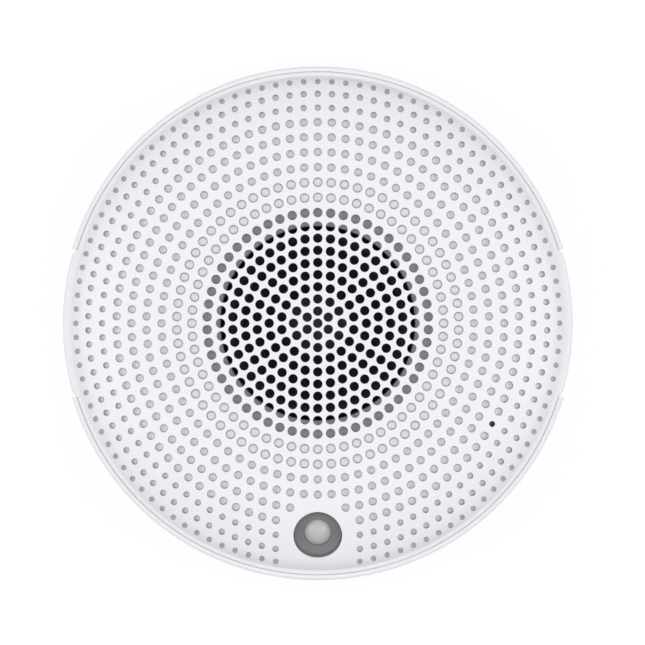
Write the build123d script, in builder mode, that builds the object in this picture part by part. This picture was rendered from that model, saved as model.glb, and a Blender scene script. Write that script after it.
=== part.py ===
from build123d import *
from math import cos, degrees, radians, sin, sqrt
import os

# Round wall and ceiling speaker, lying on its back: the origin is the centre of the flat back,
# +Z points out of the perforated face, +Y to the top of the face and the motion sensor is at -Y.
# All sizes are in millimetres.

# Clearances
slip_gap = 0.3
seat_gap = 0.1
soft_gap = 0.3
coil_gap = 0.4
parting_gap = 0.25

# Length of a cut that goes right through a wall
through = 10.0

# Body and shells
body_radius = 80.0
back_radius = 78.0
base_floor = 2.4
cover_wall = 2.4
rim_width = 1.55
rim_drop = 0.2
flange_width = 1.47
flange_thickness = 2.0
flange_step = 0.2
skirt_depth = 4.0
face_arc_radius = 44.0
face_arc_angle = 29.0
edge_arc_radius = 6.8
edge_arc_angle = 51.0
rim_round = 0.8
back_round = 1.2

# Pull lugs of the cover at 3 and 9 o'clock, and the recess in the base under each
lug_reach = 1.1
lug_half_angle = 16.3
lug_end_slant = 0.6
lug_gap_angle = 0.5
lug_undercut = 0.8
lug_root = 0.8

# Push-fit pegs that hold the cover
peg_radius = 1.9
peg_depth = 6.0
peg_socket_wall = 1.3
peg_inset = 6.0
peg_angles = (15.0, 165.0, 235.0, 305.0)
peg_socket_drop = 0.6

# Grille: ring k has 6 k holes and every ring has a hole at 12 o'clock
grille_pitch = 3.776
grille_fine_rings = 8
grille_last_ring = 34.4
grille_hole_radius = 1.4
grille_hole_sides = 6
grille_start = 90.0

# Blind dimples that carry the pattern on over the dome: ring k has 6 k places, and each dimple is
# bounded by two radial planes and two cylinders about Z, so that it has few and simple faces
dimple_pitch = 4.7
dimple_rings = (10, 11, 12, 13, 14, 15)
dimple_widths = (2.5, 2.5, 2.16, 2.16, 2.16, 2.16)
dimple_floor = 0.9
dimple_bare = {14: 1, 15: 2}
mic_ring = 15

# Microphone port in the face
mic_circle = 62.55
mic_angle = -30.0
mic_port_radius = 0.9
mic_length = 3.5
mic_width = 2.65
mic_height = 1.0
mic_boot_radius = 3.5
mic_channel_radius = 0.8

# Motion sensor at 6 o'clock
pir_circle = 66.0
pir_tilt = 21.0
bezel_radius = 7.45
bezel_lip = 0.45
bezel_setback = 0.15
bezel_depth = 5.2
bezel_collar_width = 1.25
bezel_collar_height = 1.0
funnel_depth = 2.7
lens_radius = 4.2
lens_height = 2.3
lens_wall = 0.7
lens_flange_width = 1.1
lens_flange_height = 0.8
lens_ledge = 0.5
can_radius = 4.6
can_height = 4.2
can_brim_width = 0.5
can_brim_height = 0.5
can_window_length = 5.0
can_window_width = 3.75
can_window_depth = 0.3

# Loudspeaker motor
pole_radius = 7.45
pole_vent_radius = 2.5
former_wall = 0.25
former_tail = 0.3
winding_wall = 0.5
winding_height = 7.0
magnet_radius = 24.0
magnet_height = 8.0
magnet_bore_margin = 2.5
plate_height = 3.5
plate_inset = 3.0
yoke_height = 3.4
yoke_inset = 2.0
yoke_gap = 1.4

# Loudspeaker cone and suspension
cone_travel = 2.0
cone_rim_radius = 24.8
cone_lip = 1.5
cone_depth = 8.0
cone_wall = 0.7
neck_rise = 1.8
cap_radius = 9.6
cap_height = 3.2
cap_wall = 0.5
roll_radius = 2.5
roll_wall = 0.5
roll_margin = 1.6
spider_clearance = 2.7
spider_wall = 0.5
spider_rise = 0.8
spider_folds = 4
spider_width = 11.0
spider_collar = 0.6

# Loudspeaker frame, its gasket and its screws
gasket_inset = 0.4
gasket_width = 7.8
frame_margin = 0.5
frame_flange = 2.0
frame_wall_run = 2.6
frame_shelf = 2.4
frame_windows = 6
frame_window_share = 0.62
frame_window_margin = 1.2
ear_offset = 3.0
ear_radius = 3.6
ear_count = 4
ear_start = 45.0

# Speaker chamber
chamber_wall = 2.0
chamber_floor = 1.8
chamber_ledge = 2.8
lead_slot_width = 6.0
lead_slot_depth = 5.0

# Screws
screw_radius = 1.4
screw_head_radius = 2.7
screw_head_height = 1.6
screw_length = 8.0
screw_hole_gap = 0.15

# Fixing holes in the base
wall_screw_circle = 66.0
wall_screw_count = 4
wall_screw_start = 45.0
wall_boss_width = 3.0
wall_boss_height = 1.6
wall_screw_radius = 2.25
box_screw_spacing = 83.3
box_screw_radius = 2.0
cable_x = 16.0
cable_y = 57.0
cable_bore = 7.0
grommet_wall = 2.4
grommet_flange = 2.1
grommet_flange_height = 1.6
grommet_setback = 0.2

# Main board
board_thickness = 1.6
board_setback = 4.5
board_inner_gap = 1.4
board_outer_gap = 0.8
board_post_radius = 3.2
board_post_inset = 4.5
board_post_count = 5
board_post_step = 60.0
board_post_start = 150.0
scallop_gap = 3.75
cable_bay_left = -13.5
cable_bay_right = 34.0
cable_bay_front = 30.0
pir_tab_width = 18.0
pir_tab_margin = 2.4

# Network jack, hung under the board with its mouth to the cable bay
jack_length = 20.0
jack_width = 15.6
jack_height = 13.0
jack_y = 57.0
jack_setback = 1.0
socket_width = 12.0
socket_height = 7.2
socket_depth = 14.0
socket_drop = 2.6
latch_width = 6.2
latch_height = 2.2
shield_wall = 0.4
contact_count = 8
contact_pitch = 1.02
contact_width = 0.45
contact_height = 0.4
contact_length = 8.0

# Parts on top of the board, by angle and radius
transformer_angle = 118.0
transformer_circle = 57.0
transformer_size = 13.0
transformer_height = 9.5
transformer_core = 3.2
capacitor_circle = 60.5
capacitor_radius = 4.0
capacitor_height = 8.5
capacitor_angles = (14.0, 24.0, 34.0)
inductor_circle = 57.0
inductor_size = 8.0
inductor_height = 5.0
inductor_round = 1.3
inductor_angles = (292.0, 304.0)
processor_circle = 57.0
processor_angle = 180.0
processor_size = 14.0
processor_height = 1.4
sink_size = 17.0
sink_base = 2.0
sink_fin_height = 5.0
sink_fin_wall = 1.2
sink_fins = 6
chip_circle = 58.0
chip_size = 8.0
chip_height = 1.1
chip_angles = (162.0, 198.0, 252.0)
switch_circle = 54.0
switch_angle = 42.0
switch_size = 6.0
switch_height = 3.5
button_radius = 1.75
button_rise = 2.0
button_travel = 0.4
button_foot = 0.6

# Speaker leads and their connector on the board
tag_width = 10.0
tag_height = 6.0
tag_wall = 1.0
tag_offset = 2.0
lead_radius = 0.7
lead_spread = 1.5
lead_bend = 3.0
lead_drop = 3.0
lead_rise = 3.4
connector_length = 6.0
connector_width = 8.0
connector_height = 6.5
connector_inset = 3.1

# Heights of the stack, from the back face forwards
chamber_floor_top = base_floor + chamber_floor
yoke_bottom = chamber_floor_top + yoke_gap
magnet_bottom = yoke_bottom + yoke_height
plate_bottom = magnet_bottom + magnet_height
plate_top = plate_bottom + plate_height
spider_level = plate_top + spider_clearance
neck_level = spider_level + neck_rise
frame_top = neck_level + cone_depth
frame_seat = frame_top - frame_flange
gasket_bottom = frame_top + roll_wall
face_inside = gasket_bottom + roll_radius + cone_travel + roll_margin
body_depth = face_inside + cover_wall

# Outline of the cover's edge
slope = radians(face_arc_angle)
edge_slope = radians(face_arc_angle + edge_arc_angle)
flange_radius = body_radius - rim_width - parting_gap
cover_radius = flange_radius - flange_width
edge_run = edge_arc_radius * (sin(edge_slope) - sin(slope))
edge_fall = edge_arc_radius * (cos(slope) - cos(edge_slope))
face_flat_radius = cover_radius - edge_run - face_arc_radius * sin(slope)
flange_top = body_depth - face_arc_radius * (1 - cos(slope)) - edge_fall - flange_step
flange_bottom = flange_top - flange_thickness
skirt_bottom = flange_bottom - skirt_depth
rim_top = flange_top - rim_drop
rim_inside = flange_radius + parting_gap
base_inside = cover_radius + slip_gap
lug_radius = flange_radius + lug_reach

# Radii of the loudspeaker
former_inside = pole_radius + coil_gap
former_outside = former_inside + former_wall
winding_outside = former_outside + winding_wall
plate_bore = winding_outside + coil_gap
roll_outside = cone_rim_radius + 2 * roll_radius
gasket_inside = roll_outside + gasket_inset
gasket_outside = gasket_inside + gasket_width
frame_radius = gasket_outside + frame_margin
ear_circle = frame_radius + ear_offset
chamber_inside = frame_radius - chamber_ledge
chamber_outside = chamber_inside + chamber_wall
spider_outside = former_outside + spider_width
cone_slope = (cone_depth - cone_wall) / (cone_rim_radius - cone_lip - former_outside)

# Places on the board and around it
peg_circle = base_inside - peg_inset
peg_socket_radius = peg_radius + seat_gap + peg_socket_wall
peg_socket_top = skirt_bottom - peg_socket_drop
board_top = flange_top - board_setback
board_bottom = board_top - board_thickness
board_inside = ear_circle + ear_radius + board_inner_gap
board_outside = peg_circle - peg_socket_radius - board_outer_gap
board_post_circle = board_inside + board_post_inset
screw_pilot = screw_radius + seat_gap
screw_clearance = screw_radius + screw_hole_gap
jack_mouth = cable_bay_left - jack_setback
jack_back = jack_mouth - jack_length
jack_bottom = board_bottom - jack_height
socket_top = board_bottom - socket_drop


def face_height(radius):
    """Height of the outer face at a radius on the flat or on the large arc of the dome."""
    run = max(radius - face_flat_radius, 0)
    return body_depth - face_arc_radius + sqrt(face_arc_radius**2 - run**2)


def face_spot(run):
    """Radius and height of the outer face at a run along it from the centre, on the flat or either arc."""
    past_flat = run - face_flat_radius
    turn = min(max(past_flat, 0) / face_arc_radius, slope)
    rest = max(past_flat - face_arc_radius * slope, 0) / edge_arc_radius
    core = face_arc_radius - edge_arc_radius
    radius = face_flat_radius + min(past_flat, 0) + core * sin(turn) + edge_arc_radius * sin(turn + rest)
    drop = core * (1 - cos(turn)) + edge_arc_radius * (1 - cos(turn + rest))
    return radius, body_depth - drop


def dimple_places(ring):
    """Places of a ring that have a dimple: not those around the motion sensor or at the microphone port."""
    count = 6 * ring
    bare = dimple_bare.get(ring, -1)
    port = round((grille_start - mic_angle) / 360 * count) if ring == mic_ring else -1
    return [place for place in range(count) if abs(place - count // 2) > bare and place != port]


def under_face(setback, bottom):
    """Solid of revolution under the domed face, the setback inside it, down to a flat bottom."""
    with BuildPart(mode=Mode.PRIVATE) as dome:
        with BuildSketch(Plane.XZ):
            with BuildLine():
                flat = Line((0, body_depth - setback), (face_flat_radius, body_depth - setback))
                face = JernArc(flat @ 1, flat % 1, face_arc_radius - setback, -face_arc_angle)
                edge = JernArc(face @ 1, face % 1, edge_arc_radius - setback, -edge_arc_angle)
                Polyline(edge @ 1, ((edge @ 1).X, bottom), (0, bottom), flat @ 0)
            make_face()
        revolve(axis=Axis.Z)
    return dome.part


def lug_outline(inner, outer, half_angle, slant):
    """Outline of the two pull lugs between two radii, with ends slanted by an angle."""
    with BuildSketch(mode=Mode.PRIVATE) as outline:
        with BuildLine():
            outer_half = half_angle - slant
            inner_half = half_angle + slant
            outer_arc = CenterArc((0, 0), outer, -outer_half, 2 * outer_half)
            inner_arc = CenterArc((0, 0), inner, -inner_half, 2 * inner_half)
            Line(outer_arc @ 0, inner_arc @ 0)
            Line(outer_arc @ 1, inner_arc @ 1)
        make_face()
        mirror(about=Plane.YZ)
    return outline.sketch


def ring_section(*corners):
    """Solid of revolution about Z with straight sides, from its corners as radius and height."""
    with BuildPart(mode=Mode.PRIVATE) as ring:
        with BuildSketch(Plane.XZ):
            with BuildLine():
                Polyline(*corners, close=True)
            make_face()
        revolve(axis=Axis.Z)
    return ring.part


def screw(plane):
    """Plain pan head screw: its head stands on the plane and its shank points back."""
    with BuildPart(mode=Mode.PRIVATE) as fastener:
        with BuildSketch(plane):
            Circle(screw_head_radius)
        extrude(amount=screw_head_height)
        with BuildSketch(plane):
            Circle(screw_radius)
        extrude(amount=-screw_length)
    return fastener.part


def polar(radius, angle, height=0.0):
    """Point at a radius and an angle from +X."""
    return (radius * cos(radians(angle)), radius * sin(radians(angle)), height)


def board_plane(radius, angle):
    """Plane on top of the board at a polar place, with its X axis pointing outwards."""
    return Plane(origin=polar(radius, angle, board_top), x_dir=polar(1, angle))


pir_origin = (0, -pir_circle, face_height(pir_circle))
pir_axis = (0, -sin(radians(pir_tilt)), cos(radians(pir_tilt)))
pir_plane = Plane(origin=pir_origin, x_dir=(1, 0, 0), z_dir=pir_axis)
pir_section = Plane(origin=pir_origin, x_dir=(1, 0, 0), z_dir=-pir_plane.y_dir)
finished = {}

# Front cover: domed face, flange with two pull lugs, skirt, pegs, grille and sensor openings
with BuildPart() as front_cover:
    add(under_face(0, skirt_bottom))
    with BuildSketch(Plane.XY.offset(flange_bottom)):
        Circle(flange_radius)
        add(lug_outline(flange_radius - lug_root, lug_radius, lug_half_angle, lug_end_slant))
    extrude(amount=flange_thickness)
    add(under_face(cover_wall, skirt_bottom), mode=Mode.SUBTRACT)
    with BuildPart(mode=Mode.PRIVATE) as pegs:
        with BuildSketch(Plane.XY.offset(peg_socket_top - peg_depth)):
            for angle in peg_angles:
                with Locations(polar(peg_circle, angle)[:2]):
                    Circle(peg_radius)
        extrude(amount=body_depth)
        add(under_face(cover_wall / 2, 0), mode=Mode.INTERSECT)
    add(pegs.part)
    with BuildSketch(Plane.XY.offset(body_depth)):
        RegularPolygon(grille_hole_radius, grille_hole_sides)
        for ring in range(1, grille_fine_rings + 1):
            with PolarLocations(grille_pitch * ring, 6 * ring, start_angle=grille_start):
                RegularPolygon(grille_hole_radius, grille_hole_sides)
        with PolarLocations(grille_last_ring, 6 * (grille_fine_rings + 1), start_angle=grille_start):
            RegularPolygon(grille_hole_radius, grille_hole_sides)
    extrude(amount=-through, mode=Mode.SUBTRACT)
    dimples = []
    for ring, width in zip(dimple_rings, dimple_widths):
        run = grille_last_ring + dimple_pitch * (ring - grille_fine_rings - 1)
        inner_radius, inner_height = face_spot(run - width / 2)
        outer_radius, outer_height = face_spot(run + width / 2)
        depth = cover_wall - dimple_floor
        half_angle = degrees(width / (inner_radius + outer_radius))
        with BuildPart(mode=Mode.PRIVATE) as dimple:
            with BuildSketch(Plane.XZ.rotated((0, 0, grille_start - half_angle))):
                with BuildLine():
                    Polyline(
                        (inner_radius, inner_height - depth),
                        (outer_radius, outer_height - depth),
                        (outer_radius, body_depth + depth),
                        (inner_radius, body_depth + depth),
                        close=True,
                    )
                make_face()
            revolve(axis=Axis.Z, revolution_arc=2 * half_angle)
        for place in dimple_places(ring):
            dimples.append(dimple.part.rotate(Axis.Z, -360 * place / (6 * ring)))
    add(dimples, mode=Mode.SUBTRACT, clean=False)
    with BuildSketch(Plane(polar(mic_circle, mic_angle, body_depth))):
        Circle(mic_port_radius)
    extrude(amount=-through, mode=Mode.SUBTRACT)
    with BuildSketch(pir_plane):
        Circle(bezel_radius + seat_gap)
    extrude(amount=through, both=True, mode=Mode.SUBTRACT)
finished["front_cover"] = front_cover

# Motion sensor bezel: a funnel that ends flush with the face, held by a collar behind it
lens_window = lens_radius + seat_gap
lens_seat_radius = lens_radius + lens_flange_width + seat_gap
with BuildPart() as pir_bezel:
    with BuildSketch(pir_section):
        with BuildLine():
            Polyline(
                (bezel_radius, cover_wall),
                (bezel_radius - bezel_lip, cover_wall),
                (bezel_radius - bezel_lip, 0),
                (lens_window, -funnel_depth),
                (lens_window, -funnel_depth - lens_ledge),
                (lens_seat_radius, -funnel_depth - lens_ledge),
                (lens_seat_radius, -bezel_depth),
                (bezel_radius + bezel_collar_width, -bezel_depth),
                (bezel_radius + bezel_collar_width, bezel_collar_height - bezel_depth),
                (bezel_radius, bezel_collar_height - bezel_depth),
                close=True,
            )
        make_face()
    revolve(axis=Axis(pir_origin, pir_axis))
    add(under_face(bezel_setback, 0), mode=Mode.INTERSECT)
finished["pir_bezel"] = pir_bezel

# Motion sensor lens: a thin dome with a flange behind the bezel's window
lens_top = lens_height - funnel_depth - lens_ledge
lens_foot = -funnel_depth - lens_ledge
with BuildPart() as pir_lens:
    with BuildSketch(pir_section):
        with BuildLine():
            outer_rise = lens_height
            outer_curve = RadiusArc(
                (lens_radius, lens_foot),
                (0, lens_top),
                -(lens_radius**2 + outer_rise**2) / (2 * outer_rise),
            )
            inner_radius = lens_radius - lens_wall
            inner_rise = lens_height + lens_flange_height - lens_wall
            inner_curve = RadiusArc(
                (inner_radius, lens_foot - lens_flange_height),
                (0, lens_top - lens_wall),
                -(inner_radius**2 + inner_rise**2) / (2 * inner_rise),
            )
            Line(outer_curve @ 1, inner_curve @ 1)
            Polyline(
                outer_curve @ 0,
                (lens_radius + lens_flange_width, lens_foot),
                (lens_radius + lens_flange_width, lens_foot - lens_flange_height),
                inner_curve @ 0,
            )
        make_face()
    revolve(axis=Axis(pir_origin, pir_axis))
finished["pir_lens"] = pir_lens

# Base: tray with a drafted side, a rim around the cover's flange, sockets, posts and fixing holes
with BuildPart() as base_housing:
    with BuildSketch(Plane.XZ) as base_section:
        with BuildLine():
            Polyline(
                (0, 0),
                (back_radius, 0),
                (body_radius, rim_top),
                (rim_inside, rim_top),
                (rim_inside, flange_bottom),
                (base_inside, flange_bottom),
                (base_inside, base_floor),
                (0, base_floor),
                close=True,
            )
        make_face()
        fillet(base_section.vertices().sort_by(Axis.X)[-1], rim_round)
        fillet(base_section.vertices().group_by(Axis.Y)[0].sort_by(Axis.X)[-1], back_round)
    revolve(axis=Axis.Z)
    with BuildPart(mode=Mode.PRIVATE) as finger_recess:
        recess_half = lug_half_angle + lug_gap_angle
        recess = lug_outline(cover_radius, body_radius + rim_width, recess_half, 0)
        with BuildSketch():
            add(recess)
            Circle(lug_radius - lug_undercut, mode=Mode.SUBTRACT)
        extrude(amount=body_depth)
        with BuildSketch(Plane.XY.offset(flange_bottom)):
            add(recess)
        extrude(amount=body_depth - flange_bottom)
    add(finger_recess.part, mode=Mode.SUBTRACT)
    with BuildSketch(Plane.XY.offset(base_floor)):
        for angle in peg_angles:
            with Locations(polar(peg_circle, angle)[:2]):
                Circle(peg_socket_radius)
    extrude(amount=peg_socket_top - base_floor)
    with BuildSketch(Plane.XY.offset(peg_socket_top)):
        for angle in peg_angles:
            with Locations(polar(peg_circle, angle)[:2]):
                Circle(peg_radius + seat_gap)
    extrude(amount=-peg_depth - soft_gap, mode=Mode.SUBTRACT)
    with BuildSketch(Plane.XY.offset(base_floor)):
        with PolarLocations(
            board_post_circle,
            board_post_count,
            start_angle=board_post_start,
            angular_range=board_post_count * board_post_step,
        ):
            Circle(board_post_radius)
    extrude(amount=board_bottom - base_floor)
    with BuildSketch(Plane.XY.offset(board_bottom)):
        with PolarLocations(
            board_post_circle,
            board_post_count,
            start_angle=board_post_start,
            angular_range=board_post_count * board_post_step,
        ):
            Circle(screw_pilot)
    extrude(amount=-screw_length - soft_gap, mode=Mode.SUBTRACT)
    with BuildSketch(Plane.XY.offset(base_floor)):
        with PolarLocations(wall_screw_circle, wall_screw_count, start_angle=wall_screw_start):
            Circle(wall_screw_radius + wall_boss_width)
    extrude(amount=wall_boss_height)
    with BuildSketch():
        with PolarLocations(wall_screw_circle, wall_screw_count, start_angle=wall_screw_start):
            Circle(wall_screw_radius)
        with GridLocations(0, box_screw_spacing, 1, 2):
            Circle(box_screw_radius)
        with Locations((cable_x, cable_y)):
            Circle(cable_bore + grommet_wall + seat_gap)
        with PolarLocations(ear_circle, ear_count, start_angle=ear_start):
            Circle(screw_clearance)
    extrude(amount=base_floor + wall_boss_height, mode=Mode.SUBTRACT)
    with BuildSketch():
        with PolarLocations(ear_circle, ear_count, start_angle=ear_start):
            Circle(screw_head_radius + slip_gap)
    extrude(amount=screw_head_height + soft_gap, mode=Mode.SUBTRACT)
finished["base_housing"] = base_housing

# Rubber grommet in the cable hole
with BuildPart() as cable_grommet:
    with BuildSketch(Plane((cable_x, cable_y, grommet_setback))):
        Circle(cable_bore + grommet_wall)
    extrude(amount=base_floor - grommet_setback)
    with BuildSketch(Plane((cable_x, cable_y, base_floor))):
        Circle(cable_bore + grommet_wall + grommet_flange)
    extrude(amount=grommet_flange_height)
    with BuildSketch(Plane((cable_x, cable_y, 0))):
        Circle(cable_bore)
    extrude(amount=base_floor + grommet_flange_height, mode=Mode.SUBTRACT)
finished["cable_grommet"] = cable_grommet

# Speaker chamber: a cup with four screw columns, which carries the loudspeaker
with BuildPart() as speaker_chamber:
    with BuildSketch(Plane.XY.offset(base_floor)):
        Circle(chamber_outside)
        with PolarLocations(ear_circle, ear_count, start_angle=ear_start):
            Circle(ear_radius)
        with PolarLocations((ear_circle + chamber_inside) / 2, ear_count, start_angle=ear_start):
            Rectangle(ear_circle - chamber_inside, 2 * chamber_wall)
    extrude(amount=frame_seat - base_floor)
    with BuildSketch(Plane.XY.offset(chamber_floor_top)):
        Circle(chamber_inside)
    extrude(amount=frame_seat, mode=Mode.SUBTRACT)
    with BuildSketch(Plane.XY.offset(frame_seat)):
        with PolarLocations(ear_circle, ear_count, start_angle=ear_start):
            Circle(screw_pilot)
    extrude(amount=-screw_length, mode=Mode.SUBTRACT)
    with BuildSketch(Plane.XY.offset(base_floor)):
        with PolarLocations(ear_circle, ear_count, start_angle=ear_start):
            Circle(screw_pilot)
    extrude(amount=screw_length, mode=Mode.SUBTRACT)
    with BuildSketch(Plane.XY.offset(frame_seat)):
        with Locations((chamber_inside, 0)):
            Rectangle(through, lead_slot_width)
    extrude(amount=-lead_slot_depth, mode=Mode.SUBTRACT)
finished["speaker_chamber"] = speaker_chamber

# Screws up through the back of the base into the chamber's columns
with BuildPart() as chamber_screws:
    for corner in PolarLocations(ear_circle, ear_count, start_angle=ear_start):
        head_seat = Plane(origin=corner.position + (0, 0, screw_head_height + soft_gap), z_dir=(0, 0, -1))
        add(screw(head_seat))
finished["chamber_screws"] = chamber_screws

# Screws down through the loudspeaker's ears into the same columns
with BuildPart() as driver_screws:
    for corner in PolarLocations(ear_circle, ear_count, start_angle=ear_start):
        add(screw(Plane(corner.position + (0, 0, frame_top))))
finished["driver_screws"] = driver_screws

# Loudspeaker frame: flange with four ears, open cone-shaped basket and the spider's shelf
shelf_level = spider_level - spider_wall / 2
shelf_inside = spider_outside - frame_shelf
with BuildPart() as driver_frame:
    add(
        ring_section(
            (shelf_inside, plate_top),
            (spider_outside, plate_top),
            (spider_outside + frame_wall_run, plate_top + frame_flange),
            (roll_outside + frame_wall_run, frame_seat),
            (frame_radius, frame_seat),
            (frame_radius, frame_top),
            (roll_outside, frame_top),
            (spider_outside + seat_gap, shelf_level),
            (shelf_inside, shelf_level),
        )
    )
    with BuildSketch(Plane.XY.offset(frame_seat)):
        with PolarLocations(ear_circle, ear_count, start_angle=ear_start):
            Circle(ear_radius)
        with PolarLocations(frame_radius, ear_count, start_angle=ear_start):
            Rectangle(2 * ear_offset, 2 * ear_radius)
    extrude(amount=frame_flange)
    with BuildSketch(Plane.XY.offset(frame_seat)):
        with PolarLocations(ear_circle, ear_count, start_angle=ear_start):
            Circle(screw_clearance)
    extrude(amount=frame_flange, mode=Mode.SUBTRACT)
    with BuildSketch(Plane.XY.offset(plate_top)):
        window_half = frame_window_share * 180 / frame_windows
        window_inside = spider_outside + frame_window_margin
        window_outside = roll_outside - frame_window_margin
        for index in range(frame_windows):
            middle = 360 / frame_windows * (index + 0.5)
            with BuildLine():
                outer_side = CenterArc((0, 0), window_outside, middle - window_half, 2 * window_half)
                inner_side = CenterArc((0, 0), window_inside, middle - window_half, 2 * window_half)
                Line(outer_side @ 0, inner_side @ 0)
                Line(outer_side @ 1, inner_side @ 1)
            make_face()
    extrude(amount=frame_flange + frame_top - plate_top, mode=Mode.SUBTRACT)
finished["driver_frame"] = driver_frame

# Magnet system: yoke with its pole, ring magnet and front plate
with BuildPart() as pole_yoke:
    with BuildSketch(Plane.XY.offset(yoke_bottom)):
        Circle(magnet_radius - yoke_inset)
    extrude(amount=yoke_height)
    with BuildSketch(Plane.XY.offset(magnet_bottom)):
        Circle(pole_radius)
    extrude(amount=plate_top - magnet_bottom)
    with BuildSketch(Plane.XY.offset(yoke_bottom)):
        Circle(pole_vent_radius)
    extrude(amount=plate_top - yoke_bottom, mode=Mode.SUBTRACT)
finished["pole_yoke"] = pole_yoke

with BuildPart() as ring_magnet:
    with BuildSketch(Plane.XY.offset(magnet_bottom)):
        Circle(magnet_radius)
        Circle(plate_bore + magnet_bore_margin, mode=Mode.SUBTRACT)
    extrude(amount=magnet_height)
finished["ring_magnet"] = ring_magnet

with BuildPart() as top_plate:
    with BuildSketch(Plane.XY.offset(plate_bottom)):
        Circle(magnet_radius - plate_inset)
        Circle(plate_bore, mode=Mode.SUBTRACT)
    extrude(amount=plate_height)
finished["top_plate"] = top_plate

# Moving assembly: voice coil on its former, cone and dust cap
with BuildPart() as coil_former:
    coil_middle = (plate_bottom + plate_top) / 2
    former_bottom = coil_middle - winding_height / 2 - former_tail
    with BuildSketch(Plane.XY.offset(former_bottom)):
        Circle(former_outside)
        Circle(former_inside, mode=Mode.SUBTRACT)
    extrude(amount=neck_level + cone_wall - former_bottom)
finished["coil_former"] = coil_former

with BuildPart() as voice_coil:
    with BuildSketch(Plane.XY.offset(coil_middle - winding_height / 2)):
        Circle(winding_outside)
        Circle(former_outside, mode=Mode.SUBTRACT)
    extrude(amount=winding_height)
finished["voice_coil"] = voice_coil

with BuildPart() as cone:
    lip_radius = cone_rim_radius - cone_lip
    add(
        ring_section(
            (former_outside, neck_level),
            (lip_radius, frame_top - cone_wall),
            (cone_rim_radius, frame_top - cone_wall),
            (cone_rim_radius, frame_top),
            (lip_radius, frame_top),
            (former_outside, neck_level + cone_wall),
        )
    )
finished["cone"] = cone

with BuildPart() as dust_cap:
    cap_foot = neck_level + cone_wall + cone_slope * (cap_radius - former_outside)
    with BuildSketch(Plane.XZ):
        with BuildLine():
            outer_curve = RadiusArc(
                (cap_radius, cap_foot),
                (0, cap_foot + cap_height),
                -(cap_radius**2 + cap_height**2) / (2 * cap_height),
            )
            inside = cap_radius - cap_wall
            rise = cap_height - cap_wall
            inner_curve = RadiusArc(
                (inside, cap_foot), (0, cap_foot + rise), -(inside**2 + rise**2) / (2 * rise)
            )
            Line(outer_curve @ 0, inner_curve @ 0)
            Line(outer_curve @ 1, inner_curve @ 1)
        make_face()
    revolve(axis=Axis.Z)
finished["dust_cap"] = dust_cap

# Suspension: rubber half-roll surround glued on the cone's lip and the flange, and pleated spider
with BuildPart() as surround:
    roll_middle = cone_rim_radius + roll_radius
    with BuildSketch(Plane.XZ):
        with BuildLine():
            crest = frame_top + roll_radius
            outer_roll = ThreePointArc(
                (cone_rim_radius, frame_top), (roll_middle, crest), (roll_outside, frame_top)
            )
            inner_roll = ThreePointArc(
                (cone_rim_radius + roll_wall, frame_top),
                (roll_middle, crest - roll_wall),
                (roll_outside - roll_wall, frame_top),
            )
            Line(outer_roll @ 0, inner_roll @ 0)
            Line(outer_roll @ 1, inner_roll @ 1)
        make_face()
        with Locations((cone_rim_radius - cone_lip / 2, frame_top + roll_wall / 2)):
            Rectangle(cone_lip + roll_wall, roll_wall)
        with Locations(((roll_outside + gasket_outside) / 2 - roll_wall / 2, frame_top + roll_wall / 2)):
            Rectangle(gasket_outside - roll_outside + roll_wall, roll_wall)
    revolve(axis=Axis.Z)
finished["surround"] = surround

with BuildPart() as spider:
    fold_start = former_outside + spider_collar
    fold_width = (spider_width - frame_shelf - spider_collar) / spider_folds
    folds = [(former_outside, 0)]
    for fold in range(spider_folds):
        folds.append((fold_start + fold * fold_width, 0))
        folds.append((fold_start + (fold + 0.5) * fold_width, spider_rise * (-1) ** fold))
    folds.append((fold_start + spider_folds * fold_width, 0))
    folds.append((spider_outside, 0))
    upper = [(radius, spider_level + spider_wall / 2 + rise) for radius, rise in folds]
    lower = [(radius, spider_level - spider_wall / 2 + rise) for radius, rise in reversed(folds)]
    add(ring_section(*upper, *lower))
finished["spider"] = spider

# Foam gasket between the loudspeaker and the cover
with BuildPart() as driver_gasket:
    with BuildSketch(Plane.XY.offset(gasket_bottom)):
        Circle(gasket_outside)
        Circle(gasket_inside, mode=Mode.SUBTRACT)
    extrude(amount=face_inside - soft_gap - gasket_bottom)
finished["driver_gasket"] = driver_gasket

# Main board: a C around the chamber, open at the cable bay, with scallops for the wall screws
with BuildPart() as main_board:
    with BuildSketch(Plane.XY.offset(board_bottom)):
        Circle(board_outside)
        with Locations((0, -(pir_circle + can_radius + pir_tab_margin) / 2)):
            Rectangle(pir_tab_width, pir_circle + can_radius + pir_tab_margin)
        Circle(board_inside, mode=Mode.SUBTRACT)
        bay_middle = (cable_bay_left + cable_bay_right) / 2
        with Locations((bay_middle, (cable_bay_front + body_radius) / 2)):
            Rectangle(
                cable_bay_right - cable_bay_left, body_radius - cable_bay_front, mode=Mode.SUBTRACT
            )
        with PolarLocations(wall_screw_circle, wall_screw_count, start_angle=wall_screw_start):
            Circle(wall_screw_radius + scallop_gap, mode=Mode.SUBTRACT)
        with PolarLocations(
            board_post_circle,
            board_post_count,
            start_angle=board_post_start,
            angular_range=board_post_count * board_post_step,
        ):
            Circle(screw_clearance, mode=Mode.SUBTRACT)
    extrude(amount=board_thickness)
finished["main_board"] = main_board

with BuildPart() as board_screws:
    post_places = PolarLocations(
        board_post_circle,
        board_post_count,
        start_angle=board_post_start,
        angular_range=board_post_count * board_post_step,
    )
    for post in post_places:
        add(screw(Plane(post.position + (0, 0, board_top))))
finished["board_screws"] = board_screws

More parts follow.
